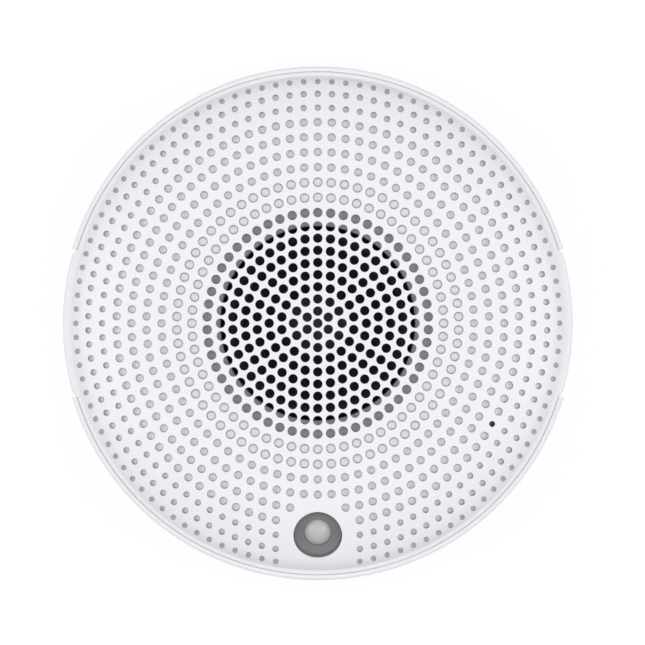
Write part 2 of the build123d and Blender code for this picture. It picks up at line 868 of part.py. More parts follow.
# Network jack: insert with the plug's socket, metal shield and contacts
jack_middle = (jack_mouth + jack_back) / 2
with BuildPart() as network_jack:
    with BuildSketch(Plane((jack_middle, jack_y, board_bottom))):
        Rectangle(jack_length, jack_width)
    extrude(amount=-jack_height)
    mouth_centre = (jack_mouth, jack_y, socket_top - socket_height / 2)
    with BuildSketch(Plane(origin=mouth_centre, x_dir=(0, 1, 0), z_dir=(1, 0, 0))):
        Rectangle(socket_width, socket_height)
        with Locations((0, -(socket_height + latch_height) / 2)):
            Rectangle(latch_width, latch_height)
    extrude(amount=-socket_depth, mode=Mode.SUBTRACT)
finished["network_jack"] = network_jack

with BuildPart() as jack_shield:
    shield_gap = seat_gap / 2
    with BuildSketch(Plane((jack_middle - shield_wall / 2, jack_y, board_bottom - seat_gap))):
        Rectangle(jack_length + shield_wall, jack_width + 2 * (shield_gap + shield_wall))
    extrude(amount=-jack_height - shield_wall)
    with BuildSketch(Plane((jack_middle, jack_y, board_bottom))):
        with Locations((shield_wall / 2, 0)):
            Rectangle(jack_length + shield_wall + 2 * shield_gap, jack_width + 2 * shield_gap)
    extrude(amount=-jack_height - shield_gap, mode=Mode.SUBTRACT)
finished["jack_shield"] = jack_shield

with BuildPart() as jack_contacts:
    contact_start = jack_mouth - (socket_depth - contact_length) / 2 - contact_length / 2
    with BuildSketch(Plane((contact_start, jack_y, socket_top))):
        with GridLocations(0, contact_pitch, 1, contact_count):
            Rectangle(contact_length, contact_width)
    extrude(amount=-contact_height)
finished["jack_contacts"] = jack_contacts

# Parts soldered on top of the board
with BuildPart() as power_transformer:
    with BuildSketch(board_plane(transformer_circle, transformer_angle)):
        Rectangle(transformer_size, transformer_size)
    extrude(amount=transformer_height)
    with BuildSketch(board_plane(transformer_circle, transformer_angle).offset(transformer_core)):
        Rectangle(transformer_size, transformer_size)
        Rectangle(transformer_size - transformer_core, transformer_size, mode=Mode.SUBTRACT)
    extrude(amount=transformer_height - 2 * transformer_core, mode=Mode.SUBTRACT)
finished["power_transformer"] = power_transformer

with BuildPart() as bulk_capacitors:
    for angle in capacitor_angles:
        with BuildSketch(board_plane(capacitor_circle, angle)):
            Circle(capacitor_radius)
        extrude(amount=capacitor_height)
finished["bulk_capacitors"] = bulk_capacitors

with BuildPart() as output_inductors:
    for angle in inductor_angles:
        with BuildSketch(board_plane(inductor_circle, angle)):
            RectangleRounded(inductor_size, inductor_size, inductor_round)
        extrude(amount=inductor_height)
finished["output_inductors"] = output_inductors

with BuildPart() as processor:
    with BuildSketch(board_plane(processor_circle, processor_angle)):
        Rectangle(processor_size, processor_size)
    extrude(amount=processor_height)
finished["processor"] = processor

with BuildPart() as heat_sink:
    sink_plane = board_plane(processor_circle, processor_angle).offset(processor_height)
    with BuildSketch(sink_plane):
        Rectangle(sink_size, sink_size)
    extrude(amount=sink_base)
    with BuildSketch(sink_plane.offset(sink_base)):
        with GridLocations(0, (sink_size - sink_fin_wall) / (sink_fins - 1), 1, sink_fins):
            Rectangle(sink_size, sink_fin_wall)
    extrude(amount=sink_fin_height)
finished["heat_sink"] = heat_sink

with BuildPart() as board_chips:
    for angle in chip_angles:
        with BuildSketch(board_plane(chip_circle, angle)):
            Rectangle(chip_size, chip_size)
        extrude(amount=chip_height)
finished["board_chips"] = board_chips

# Control switch and its button
switch_plane = board_plane(switch_circle, switch_angle)
with BuildPart() as control_switch:
    with BuildSketch(switch_plane):
        Rectangle(switch_size, switch_size)
    extrude(amount=switch_height)
    with BuildSketch(switch_plane.offset(switch_height)):
        Circle(button_radius + seat_gap)
    extrude(amount=-button_travel - 2 * button_foot, mode=Mode.SUBTRACT)
finished["control_switch"] = control_switch

with BuildPart() as control_button:
    with BuildSketch(switch_plane.offset(switch_height - button_foot)):
        Circle(button_radius)
    extrude(amount=button_foot + button_rise)
finished["control_button"] = control_button

# Microphone on the board and the rubber boot that leads the sound to it from the port
mic_plane = board_plane(mic_circle, mic_angle)
with BuildPart() as microphone:
    with BuildSketch(mic_plane):
        Rectangle(mic_length, mic_width)
    extrude(amount=mic_height)
finished["microphone"] = microphone

with BuildPart() as mic_boot:
    with BuildSketch(mic_plane):
        Circle(mic_boot_radius)
    extrude(amount=body_depth - board_top)
    add(under_face(cover_wall + soft_gap, 0), mode=Mode.INTERSECT)
    with BuildSketch(mic_plane):
        Rectangle(mic_length + 2 * seat_gap, mic_width + 2 * seat_gap)
    extrude(amount=mic_height + seat_gap, mode=Mode.SUBTRACT)
    with BuildSketch(mic_plane):
        Circle(mic_channel_radius)
    extrude(amount=body_depth - board_top, mode=Mode.SUBTRACT)
finished["mic_boot"] = mic_boot

# Motion sensor can on the board's tab
can_plane = Plane((0, -pir_circle, board_top))
with BuildPart() as pir_sensor:
    with BuildSketch(can_plane):
        Circle(can_radius)
    extrude(amount=can_brim_height)
    with BuildSketch(can_plane):
        Circle(can_radius - can_brim_width)
    extrude(amount=can_height)
    with BuildSketch(can_plane.offset(can_height)):
        Rectangle(can_window_length, can_window_width)
    extrude(amount=-can_window_depth, mode=Mode.SUBTRACT)
finished["pir_sensor"] = pir_sensor

# Terminal tag under the loudspeaker's flange, leads and their connector on the board
tag_x = roll_outside + frame_wall_run + tag_offset
lead_level = frame_seat - lead_drop
with BuildPart() as terminal_tag:
    with BuildSketch(Plane((tag_x, 0, frame_seat))):
        Rectangle(tag_wall, tag_width)
    extrude(amount=-tag_height)
finished["terminal_tag"] = terminal_tag

connector_start = board_inside + connector_inset
with BuildPart() as lead_connector:
    with BuildSketch(Plane((connector_start + connector_length / 2, 0, board_top))):
        Rectangle(connector_length, connector_width)
    extrude(amount=connector_height)
finished["lead_connector"] = lead_connector

with BuildPart() as speaker_leads:
    for side in (-lead_spread, lead_spread):
        with BuildLine(Plane.XZ.offset(side)) as route:
            FilletPolyline(
                (tag_x + tag_wall / 2, lead_level),
                (chamber_outside, lead_level),
                (board_inside - board_inner_gap, board_top + lead_rise),
                (connector_start, board_top + lead_rise),
                radius=lead_bend,
            )
        with BuildSketch(Plane(origin=route.line @ 0, z_dir=route.line % 0)):
            Circle(lead_radius)
        sweep(path=route.line)
finished["speaker_leads"] = speaker_leads

os.makedirs("parts", exist_ok=True)
for name, piece in finished.items():
    piece.part.label = name
    export_step(piece.part, f"parts/{name}.step")
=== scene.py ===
import math
import random

import bmesh
import bpy
from mathutils import Matrix, Vector


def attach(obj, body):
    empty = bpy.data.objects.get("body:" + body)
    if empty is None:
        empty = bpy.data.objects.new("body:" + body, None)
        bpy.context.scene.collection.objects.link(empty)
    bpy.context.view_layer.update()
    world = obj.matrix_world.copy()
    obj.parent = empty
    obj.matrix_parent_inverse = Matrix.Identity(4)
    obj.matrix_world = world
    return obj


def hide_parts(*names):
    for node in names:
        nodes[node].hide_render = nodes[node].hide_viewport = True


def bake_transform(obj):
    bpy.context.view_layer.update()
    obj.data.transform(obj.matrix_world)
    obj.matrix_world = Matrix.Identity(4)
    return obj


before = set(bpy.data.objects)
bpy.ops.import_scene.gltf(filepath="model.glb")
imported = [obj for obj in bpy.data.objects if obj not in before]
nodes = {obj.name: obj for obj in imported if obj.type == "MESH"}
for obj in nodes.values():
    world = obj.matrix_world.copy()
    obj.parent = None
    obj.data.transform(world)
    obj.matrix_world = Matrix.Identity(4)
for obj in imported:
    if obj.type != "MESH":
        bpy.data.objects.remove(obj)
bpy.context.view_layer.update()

# Round wall and ceiling speaker. Pieces are drawn in millimetres and scaled to metres at the end.
MM = 0.001
scene = bpy.context.scene

# Steps of a full turn, from the cover's rim down to the board's vias
rim_steps, large_steps, wide_steps, round_steps = 360, 128, 96, 72
middle_steps, small_steps, pad_steps, pin_steps, dot_steps, via_steps = 64, 40, 32, 24, 20, 10
# Vertices closer than this are one
merge_gap = 0.0005
# Edges that turn by more than this are drawn sharp
sharp_angle = math.radians(35)

# Sizes that the solids have too, apart from finer gaps and rounder edges
body_depth = 42.0
cover_wall = 2.4
flat_radius = 52.0
face_arc = 44.0
face_turn = math.radians(29)
edge_arc = 6.8
edge_turn = math.radians(51)
cover_radius = 76.73
flange_edge = 78.37
flange_round = 0.7
flange_top = 31.517
flange_bottom = 29.517
flange_middle = 30.5
foot_hollow = 1.1
edge_break = 0.2
skirt_bottom = 25.517
skirt_inside = 74.37
lug_reach = 1.0
lug_swell = 1.7
lug_full_angle = math.radians(15.7)
lug_end_angle = math.radians(16.9)
peg_radius = 1.9
peg_circle = 71.03
peg_bottom = 18.92
peg_angles = (15, 165, 235, 305)
# A peg's top follows the face at a drop, and its corners are turned off the lines of the cover
peg_top = 36.0
peg_top_drop = 2.25
peg_turn = 4.0
pir_circle = 66.0
pir_height = 39.713
pir_tilt = math.radians(21)
opening_radius = 7.55
bowl_radius = 7.2
pir_place = Matrix.Translation((0, -pir_circle, pir_height)) @ Matrix.Rotation(pir_tilt, 4, "X")

# Grille: ring k has 6 k holes, with one at 12 o'clock
fine_pitch = 3.776
wide_start = 34.4
wide_pitch = 4.7
through_rings = 9
face_end = 76.35
face_margin = 0.2
last_ring = 18
ring_gap = 0.12
through_sides = 16
through_radius = 1.48
through_lip = 0.08
# The microphone port stands in for one dimple of a ring
port_ring = 15
port_index = 30
port_place = (54.17, -31.28, 0)
port_radius = 0.92
port_bottom = 30.0
# Dimples: last ring, radius, floor, width of the groove around the floor, its depth, sides
dimple_sizes = (
    (11, 1.5, 1.5, 0.3, 2.2, 16),
    (15, 1.31, 1.85, 0.3, 2.2, 16),
    (17, 1.02, 1.75, 0.32, 2.05, 12),
    (18, 0.9, 2.6, 0, 0, 12),
)
# The last ring's floors are level
level_floor = dimple_sizes[-1][2]
# Places left bare by ring, to each side of 6 o'clock
bare_places = {14: 1, 15: 2, 16: 2, 17: 2, 18: 2}


# Helpers for meshes

def add_piece(bm, name, material, slot, *replaced, body="base"):
    """Turns a closed mesh drawn in millimetres into a smooth piece on a body; when the body is not a name, the
    piece's place is only baked in.
    """
    bmesh.ops.scale(bm, vec=(MM, MM, MM), verts=bm.verts)
    mesh = bpy.data.meshes.new(name)
    bm.to_mesh(mesh)
    bm.free()
    for polygon in mesh.polygons:
        polygon.use_smooth = True
    mesh.set_sharp_from_angle(angle=sharp_angle)
    piece = bpy.data.objects.new(name, mesh)
    scene.collection.objects.link(piece)
    piece.data.materials.append(material)
    if isinstance(body, str):
        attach(piece, body)
    else:
        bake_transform(piece)
    if replaced:
        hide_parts(*replaced)


def spin_profile(bm, corners, steps, closed=False):
    """Turns a line of (radius, height) corners once round Z."""
    line = [bm.verts.new((radius, 0, height)) for radius, height in corners]
    pairs = list(zip(line, line[1:])) + ([(line[-1], line[0])] if closed else [])
    edges = [bm.edges.new(pair) for pair in pairs]
    bmesh.ops.spin(
        bm, geom=line + edges, cent=(0, 0, 0), axis=(0, 0, 1), angle=math.tau, steps=steps, use_merge=True
    )
    bmesh.ops.remove_doubles(bm, verts=bm.verts, dist=merge_gap)


def turned(corners, steps, place=Matrix()):
    """Closed mesh, at a place, of a profile turned round Z; the profile is a loop or runs from axis to axis."""
    bm = bmesh.new()
    spin_profile(bm, corners, steps, closed=corners[0][0] > 0)
    bmesh.ops.transform(bm, matrix=place, verts=bm.verts)
    bmesh.ops.recalc_face_normals(bm, faces=bm.faces)
    return bm


def move(x=0, y=0, z=0):
    """Shift along the axes."""
    return Matrix.Translation((x, y, z))


def spin(angle):
    """Turn about Z, in degrees."""
    return Matrix.Rotation(math.radians(angle), 4, "Z")


def at(radius, angle, height, turn=0.0):
    """Place at a polar position, with its X axis pointing outwards."""
    return spin(angle) @ move(radius, 0, height) @ spin(turn)


def arc_corners(centre, radius, start, end, steps):
    """Corners along an arc, angles in degrees from the outward direction."""
    corners = []
    for step in range(steps + 1):
        turn = math.radians(start + (end - start) * step / steps)
        corners.append((centre[0] + radius * math.cos(turn), centre[1] + radius * math.sin(turn)))
    return corners


def dome_line(radius, foot, rise, steps=14):
    """Corners of a shallow dome from its top to its foot."""
    ball = (radius**2 + rise**2) / (2 * rise)
    reach = math.asin(radius / ball)
    turns = [reach * step / steps for step in range(steps + 1)]
    return [(ball * math.sin(turn), foot + rise - ball * (1 - math.cos(turn))) for turn in turns]


# Domed face: flat in the middle, then a large arc, then a tight one
edge_middle = flat_radius + (face_arc - edge_arc) * math.sin(face_turn)
edge_level = body_depth - face_arc + (face_arc - edge_arc) * math.cos(face_turn)


def face_point(run, depth):
    """Radius and height of the point that lies a depth under the face at a run along it."""
    if run <= flat_radius:
        return run, body_depth - depth
    turn = (run - flat_radius) / face_arc
    if turn <= face_turn:
        reach = face_arc - depth
        return flat_radius + reach * math.sin(turn), body_depth - face_arc + reach * math.cos(turn)
    rest = run - flat_radius - face_arc * face_turn
    turn = min(face_turn + rest / edge_arc, face_turn + edge_turn)
    reach = edge_arc - depth
    return edge_middle + reach * math.sin(turn), edge_level + reach * math.cos(turn)


def dome_height(radius, setback):
    """Height of the dome, less a setback, at a radius on its large arc."""
    return body_depth - face_arc + math.sqrt((face_arc - setback) ** 2 - (radius - flat_radius) ** 2)


def face_height(radius):
    """Height of the face at a radius."""
    if radius <= flat_radius:
        return body_depth
    if radius <= flat_radius + face_arc * math.sin(face_turn):
        return dome_height(radius, 0)
    return edge_level + math.sqrt(edge_arc**2 - (radius - edge_middle) ** 2)


def edge_run(radius):
    """Run along the face of a radius on its tight arc."""
    turn = math.asin((radius - edge_middle) / edge_arc)
    return flat_radius + face_arc * face_turn + edge_arc * (turn - face_turn)


def ring_radius(ring):
    """Radius of a ring of holes; the rings are evenly spaced along the face."""
    if ring < through_rings:
        return fine_pitch * ring
    return face_point(wide_start + wide_pitch * (ring - through_rings), 0)[0]


def dimple_loops(ring):
    """Sides of a ring's dimples, and their wall, groove and floor as (radius, depth) loops."""
    for last, radius, depth, groove, low, sides in dimple_sizes:
        if ring <= last:
            break
    if not groove:
        return sides, [(radius, 0), (radius, depth)]
    return sides, [(radius, 0), (radius, low), (radius - groove, low), (radius - groove, depth)]


def cell_rim(bm, inner, outer, span, steps, level):
    """Border of one cell at 12 o'clock, as a closed loop of edges."""
    start = Matrix.Rotation(span / 2, 3, "Z") @ Vector((0, 1, 0))
    low = bm.verts.new(start * inner + Vector((0, 0, level)))
    high = bm.verts.new(start * outer + Vector((0, 0, level)))
    side = bm.edges.new((low, high))
    bmesh.ops.subdivide_edges(bm, edges=[side], cuts=steps - 1)
    bmesh.ops.spin(
        bm, geom=bm.verts[:] + bm.edges[:], cent=(0, 0, 0), axis=(0, 0, 1), angle=-span, steps=steps
    )
    return [e for e in bm.edges if e.is_boundary]


def hollow_out(bm, border):
    """Deletes the inside of a fresh cell and keeps its border."""
    rim = {v for e in border for v in e.verts}
    bmesh.ops.delete(bm, geom=[v for v in bm.verts if v not in rim], context="VERTS")
    bmesh.ops.delete(bm, geom=bm.faces[:], context="FACES_ONLY")
    return bm.edges[:]


def sink(bm, edges, centre, ratio, fall):
    """Extrudes a loop of edges and draws the new loop in and down."""
    made = bmesh.ops.extrude_edge_only(bm, edges=edges)["geom"]
    loop = [g for g in made if isinstance(g, bmesh.types.BMVert)]
    shrink = Matrix.Diagonal((ratio, ratio, 1, 1))
    matrix = Matrix.Translation(centre) @ shrink @ Matrix.Translation(-centre)
    bmesh.ops.transform(bm, matrix=matrix, verts=loop)
    bmesh.ops.translate(bm, vec=(0, 0, -fall), verts=loop)
    ring = set(loop)
    return [e for e in bm.edges if e.verts[0] in ring and e.verts[1] in ring]


def cell_mesh(cell, sides, loops=(), level=0.0, floor=False):
    """Mesh of one flat cell (inner, outer, count, middle) with a hole of (radius, depth) loops, or bare."""
    inner, outer, count, middle = cell
    bm = bmesh.new()
    border = cell_rim(bm, inner, outer, math.tau / count, sides // 4, level)
    if loops:
        border = hollow_out(bm, border)
        centre = Vector((0, middle, level))
        turn = Matrix.Translation(centre) @ Matrix.Rotation(math.pi / sides, 4, "Z")
        hole = set(bmesh.ops.create_circle(bm, radius=loops[0][0], segments=sides, matrix=turn)["verts"])
        edges = [e for e in bm.edges if e.verts[0] in hole and e.verts[1] in hole]
        bmesh.ops.bridge_loops(bm, edges=border + edges)
        for (wide, high), (narrow, low) in zip(loops, loops[1:]):
            edges = sink(bm, edges, centre, narrow / wide, low - high)
        if floor:
            bmesh.ops.contextual_create(bm, geom=edges)
    mesh = bpy.data.meshes.new("cell")
    bm.to_mesh(mesh)
    bm.free()
    return mesh


def add_row(bm, mesh, first, amount, count):
    """Adds copies of a cell to a mesh, at places counted clockwise from 12 o'clock."""
    row = bmesh.new()
    row.from_mesh(mesh)
    turn = Matrix.Rotation(-math.tau * first / count, 3, "Z")
    bmesh.ops.rotate(row, verts=row.verts, cent=(0, 0, 0), matrix=turn)
    if amount > 1:
        bmesh.ops.spin(
            row,
            geom=row.verts[:] + row.edges[:] + row.faces[:],
            cent=(0, 0, 0),
            axis=(0, 0, 1),
            angle=-math.tau * (amount - 1) / count,
            steps=amount - 1,
            use_duplicate=True,
        )
    join(bm, row)


def join(bm, other):
    """Adds another mesh to a mesh."""
    held = bpy.data.meshes.new("held")
    other.to_mesh(held)
    other.free()
    bm.from_mesh(held)
    bpy.data.meshes.remove(held)


def carve(bm, tool, operation):
    """Boolean of two closed meshes."""
    holders = []
    for source in (bm, tool):
        mesh = bpy.data.meshes.new("carve")
        source.to_mesh(mesh)
        source.free()
        holders.append(bpy.data.objects.new("carve", mesh))
        scene.collection.objects.link(holders[-1])
    modifier = holders[0].modifiers.new("carve", "BOOLEAN")
    modifier.operation = operation
    modifier.solver = "EXACT"
    modifier.object = holders[1]
    result = bpy.data.meshes.new_from_object(holders[0].evaluated_get(bpy.context.evaluated_depsgraph_get()))
    made = bmesh.new()
    made.from_mesh(result)
    for holder in holders:
        bpy.data.meshes.remove(holder.data)
    bpy.data.meshes.remove(result)
    return made


def loop_at(edges, radius, level, slack=0.03):
    """Those of some edges that lie on a circle about Z."""
    def near(vert):
        return math.hypot(math.hypot(vert.co.x, vert.co.y) - radius, vert.co.z - level) < slack

    return [edge for edge in edges if all(near(vert) for vert in edge.verts)]


def fill_between(bm, near, far):
    """Fills the band between two loops of edges about Z."""
    bmesh.ops.triangle_fill(bm, edges=near + far, normal=(0, 0, 1), use_beauty=True)


def build_face():
    """Face of the cover with its rings of holes and dimples, drawn flat and raised to the dome."""
    bm = bmesh.new()
    middles = [ring_radius(ring) for ring in range(last_ring + 1)]
    inner = [0.0] + [(a + b) / 2 + ring_gap for a, b in zip(middles, middles[1:])]
    outer = [(a + b) / 2 - ring_gap for a, b in zip(middles, middles[1:])] + [face_end]
    through = [(through_radius + through_lip, 0), (through_radius, through_lip), (through_radius, cover_wall)]

    # Hole in the very middle
    corners = [(radius, -depth) for radius, depth in through]
    spin_profile(bm, [(outer[0], 0)] + corners + [(outer[0], -cover_wall)], pin_steps)

    for ring in range(1, last_ring + 1):
        count = 6 * ring
        cell = (inner[ring], outer[ring], count, middles[ring])
        sides = through_sides
        if ring <= through_rings:
            below = cell_mesh(cell, sides, [(through_radius, 0)], level=-cover_wall)
            usual = [cell_mesh(cell, sides, through), below]
        else:
            sides, loops = dimple_loops(ring)
            usual = [cell_mesh(cell, sides, loops, floor=True)]
        bare = [cell_mesh(cell, sides)]
        kinds = []
        for place in range(count):
            kind = usual
            if abs(place - count // 2) <= bare_places.get(ring, -1):
                kind = bare
            if ring == port_ring and place == port_index:
                kind = bare
            if kinds and kinds[-1][0] is kind:
                kinds[-1][2] += 1
            else:
                kinds.append([kind, place, 1])
        for kind, first, amount in kinds:
            for mesh in kind:
                add_row(bm, mesh, first, amount, count)
        for mesh in usual + bare:
            bpy.data.meshes.remove(mesh)
    bmesh.ops.remove_doubles(bm, verts=bm.verts, dist=4 * merge_gap)
    rims = [e for e in bm.edges if e.is_boundary]
    for ring in range(last_ring):
        levels = (0.0, -cover_wall) if ring < through_rings else (0.0,)
        for level in levels:
            fill_between(bm, loop_at(rims, outer[ring], level), loop_at(rims, inner[ring + 1], level))
    for vert in bm.verts:
        radius = math.hypot(vert.co.x, vert.co.y)
        if abs(vert.co.z + level_floor) < merge_gap:
            radius = middles[-1]
        vert.co.z += face_height(radius)
    return bm, outer


def rim_corners(last_run):
    """Profile of the cover from the end of its face over foot, flange and skirt to its inner face."""
    arc_start = flat_radius + face_arc * face_turn
    end_run = arc_start + edge_arc * edge_turn
    first_run = edge_run(face_end) + face_margin
    # The foot of the face runs out into the flange in a hollow
    meet = math.acos((flange_top - edge_level + foot_hollow) / (edge_arc + foot_hollow))
    meet_run = arc_start + edge_arc * (meet - face_turn)
    corners = [face_point(first_run + (meet_run - first_run) * step / 4, 0) for step in range(4)]
    hollow = (edge_middle + (edge_arc + foot_hollow) * math.sin(meet), flange_top + foot_hollow)
    corners += arc_corners(hollow, foot_hollow, 270 - math.degrees(meet), 270, 6)
    shoulder = flange_edge - flange_round
    corners.append((shoulder, flange_top - 0.02))
    corners += arc_corners((shoulder, flange_top - flange_round - 0.05), flange_round, 78, 0, 5)
    corners += [
        (flange_edge, flange_bottom + edge_break),
        (flange_edge - edge_break, flange_bottom),
        (cover_radius + 0.05, flange_bottom),
        (cover_radius, flange_bottom - 0.05),
        (cover_radius, skirt_bottom + 0.3),
        (cover_radius - 0.3, skirt_bottom),
        (skirt_inside + edge_break, skirt_bottom),
        (skirt_inside, skirt_bottom + edge_break),
    ]
    edge_steps, dome_steps = 4, 16
    for step in range(edge_steps + 1):
        corners.append(face_point(end_run + (arc_start - end_run) * step / edge_steps, cover_wall))
    for step in range(1, dome_steps + 1):
        corners.append(face_point(arc_start + (flat_radius - arc_start) * step / dome_steps, cover_wall))
    corners.append(face_point(last_run, cover_wall))
    return corners


def draw_lugs(rim):
    """Draws the flange out into two pull lugs with rounder edges."""
    for vert in rim.verts:
        radius = math.hypot(vert.co.x, vert.co.y)
        turn = abs(math.atan2(vert.co.y, abs(vert.co.x)))
        if radius > flange_edge - flange_round - 0.05 and turn < lug_end_angle:
            share = min(1.0, (lug_end_angle - turn) / (lug_end_angle - lug_full_angle))
            swell = 1 + (lug_swell - 1) * share if vert.co.z > flange_middle else 1.0
            grown = (flange_edge + lug_reach * share - (flange_edge - radius) * swell) / radius
            vert.co.x *= grown
            vert.co.y *= grown
            vert.co.z = flange_top - (flange_top - vert.co.z) * swell


def build_peg(angle):
    """Push-fit peg whose top lies within the wall of the face."""
    corners = [(0, peg_bottom), (peg_radius - 0.6, peg_bottom), (peg_radius, peg_bottom + 0.9)]
    corners += [(peg_radius, peg_top), (0, peg_top)]
    peg = turned(corners, pin_steps, at(peg_circle, angle, 0, peg_turn))
    for vert in peg.verts:
        if vert.co.z > flange_top:
            vert.co.z = dome_height(math.hypot(vert.co.x, vert.co.y), 0) - peg_top_drop
    bmesh.ops.recalc_face_normals(peg, faces=peg.faces)
    return peg


def build_cover():
    """Whole front cover: face, edge, flange with two pull lugs, skirt, inner face, pegs and openings."""
    bm, outer = build_face()
    corners = rim_corners(outer[through_rings] + 2 * ring_gap)
    rim = bmesh.new()
    spin_profile(rim, corners, rim_steps)
    draw_lugs(rim)
    join(bm, rim)
    rims = [e for e in bm.edges if e.is_boundary]
    fill_between(bm, loop_at(rims, face_end, face_height(face_end)), loop_at(rims, *corners[0]))
    near = loop_at(rims, *face_point(outer[through_rings], cover_wall))
    fill_between(bm, near, loop_at(rims, *corners[-1]))
    bmesh.ops.remove_doubles(bm, verts=bm.verts, dist=merge_gap)
    bmesh.ops.recalc_face_normals(bm, faces=bm.faces)
    for angle in peg_angles:
        bm = carve(bm, build_peg(angle), "UNION")
    port = [(0, port_bottom), (port_radius, port_bottom), (port_radius, body_depth), (0, body_depth)]
    bm = carve(bm, turned(port, pin_steps, move(*port_place)), "DIFFERENCE")
    opening = [(0, -12), (opening_radius, -12), (opening_radius, 12), (0, 12)]
    bm = carve(bm, turned(opening, wide_steps, pir_place), "DIFFERENCE")
    bmesh.ops.remove_doubles(bm, verts=bm.verts, dist=merge_gap)
    return bm


# Materials: colour, gloss and relief all vary a little from place to place

def add_node(tree, kind, **values):
    """Adds a shader node and sets inputs by their names, with _ for a space."""
    made = tree.nodes.new("ShaderNode" + kind)
    for name, value in values.items():
        made.inputs[name.replace("_", " ")].default_value = value
    return made


def math_node(tree, operation, second=None):
    """Adds a node that works on one value, or on two."""
    made = add_node(tree, "Math")
    made.operation = operation
    if second is not None:
        made.inputs[1].default_value = second
    return made


def tint_node(tree, second):
    """Adds a node that mixes a second colour into a first."""
    made = add_node(tree, "Mix")
    made.data_type = "RGBA"
    made.inputs["B"].default_value = second
    return made


def surface(name, colour, rough, metal=0.0, grain=900.0, relief=0.00003, spread=0.05, stretch=(1, 1, 1)):
    """Material with a fine procedural grain, in object coordinates; relief is in metres."""
    rough_spread = 0.06
    made = bpy.data.materials.new(name)
    made.use_nodes = True
    tree = made.node_tree
    shader = tree.nodes["Principled BSDF"]
    shader.inputs["Metallic"].default_value = metal
    place = add_node(tree, "TexCoord")
    scaled = add_node(tree, "Mapping", Scale=stretch)
    noise = add_node(tree, "TexNoise", Scale=grain, Detail=4)
    tint = tint_node(tree, (*(min(1, c * (1 + spread)) for c in colour), 1))
    tint.inputs["A"].default_value = (*(c * (1 - spread) for c in colour), 1)
    smooth, dull = max(0.02, rough - rough_spread), min(1.0, rough + rough_spread)
    gloss = add_node(tree, "MapRange", To_Min=smooth, To_Max=dull)
    bump = add_node(tree, "Bump", Strength=1.0, Distance=relief)
    link = tree.links.new
    link(place.outputs["Object"], scaled.inputs["Vector"])
    link(scaled.outputs["Vector"], noise.inputs["Vector"])
    link(noise.outputs["Fac"], tint.inputs["Factor"])
    link(noise.outputs["Fac"], gloss.inputs["Value"])
    link(noise.outputs["Fac"], bump.inputs["Height"])
    link(tint.outputs["Result"], shader.inputs["Base Color"])
    link(gloss.outputs["Result"], shader.inputs["Roughness"])
    link(bump.outputs["Normal"], shader.inputs["Normal"])
    return made


def add_traces(material, colour, scale=70, lines=9, width=0.32):
    """Draws copper traces under a board's green mask, as contour lines with square corners."""
    tree = material.node_tree
    shader = tree.nodes["Principled BSDF"]
    plain = shader.inputs["Base Color"].links[0].from_socket
    place = add_node(tree, "TexCoord")
    flat = add_node(tree, "Mapping", Scale=(1, 1, 0))
    cells = add_node(tree, "TexVoronoi", Scale=scale)
    cells.distance = "MANHATTAN"
    rows = math_node(tree, "MULTIPLY", lines)
    part = math_node(tree, "FRACT")
    line = math_node(tree, "LESS_THAN", width)
    tint = tint_node(tree, colour)
    link = tree.links.new
    link(place.outputs["Object"], flat.inputs["Vector"])
    link(flat.outputs["Vector"], cells.inputs["Vector"])
    link(cells.outputs["Distance"], rows.inputs[0])
    link(rows.outputs["Value"], part.inputs[0])
    link(part.outputs["Value"], line.inputs[0])
    link(line.outputs["Value"], tint.inputs["Factor"])
    link(plain, tint.inputs["A"])
    link(tint.outputs["Result"], shader.inputs["Base Color"])


white = surface("white_plastic", (0.86, 0.866, 0.905), 0.42, grain=2500, relief=0.000006, spread=0.012)
base_white = surface("base_plastic", (0.84, 0.846, 0.875), 0.45, grain=2200, relief=0.000008, spread=0.015)
bezel_grey = surface("bezel_plastic", (0.2, 0.2, 0.206), 0.5, grain=2500, relief=0.000008)
lens_pale = surface("lens_polyethylene", (0.52, 0.52, 0.53), 0.3, grain=700, relief=0.000004, spread=0.03)
black = surface("black_plastic", (0.02, 0.02, 0.022), 0.45, grain=2400, relief=0.00001)
frame_black = surface("painted_steel", (0.028, 0.028, 0.03), 0.42, grain=1800, relief=0.00001)
ferrite = surface("ferrite", (0.045, 0.043, 0.042), 0.7, grain=1500, relief=0.00003, spread=0.2)
zinc = surface("zinc_steel", (0.62, 0.62, 0.6), 0.32, 1.0, grain=700, relief=0.000006, spread=0.1)
paper = surface("cone_paper", (0.014, 0.014, 0.014), 0.8, grain=1400, relief=0.00006, spread=0.3)
cap_paint = surface("cap_paint", (0.055, 0.055, 0.057), 0.55, grain=1400, relief=0.00002, spread=0.2)
rubber = surface("rubber", (0.014, 0.014, 0.015), 0.6, grain=1000, relief=0.00001, spread=0.2)
cloth = surface("spider_cloth", (0.42, 0.27, 0.08), 0.85, grain=1800, relief=0.00008, spread=0.15)
foil = surface("former_foil", (0.75, 0.55, 0.3), 0.35, 0.6, grain=900, relief=0.000005)
copper = surface("winding_copper", (0.62, 0.26, 0.1), 0.35, 1.0, 600, 0.00006, 0.15, (0.05, 0.05, 8))
foam = surface("gasket_foam", (0.42, 0.42, 0.425), 0.95, grain=1600, relief=0.00025, spread=0.12)
grommet_rubber = surface("grommet_rubber", (0.05, 0.05, 0.052), 0.62, grain=1200, relief=0.00001, spread=0.15)
board_green = surface("solder_mask", (0.012, 0.11, 0.045), 0.35, grain=500, relief=0.00001, spread=0.25)
add_traces(board_green, (0.03, 0.19, 0.08, 1))
jack_black = surface("jack_plastic", (0.03, 0.03, 0.032), 0.4, grain=2000, relief=0.00001)
gold = surface("contact_gold", (0.85, 0.62, 0.22), 0.25, 1.0, grain=800, relief=0.000004)
yellow_tape = surface("transformer_tape", (0.62, 0.42, 0.05), 0.45, grain=900, relief=0.00002, spread=0.1)
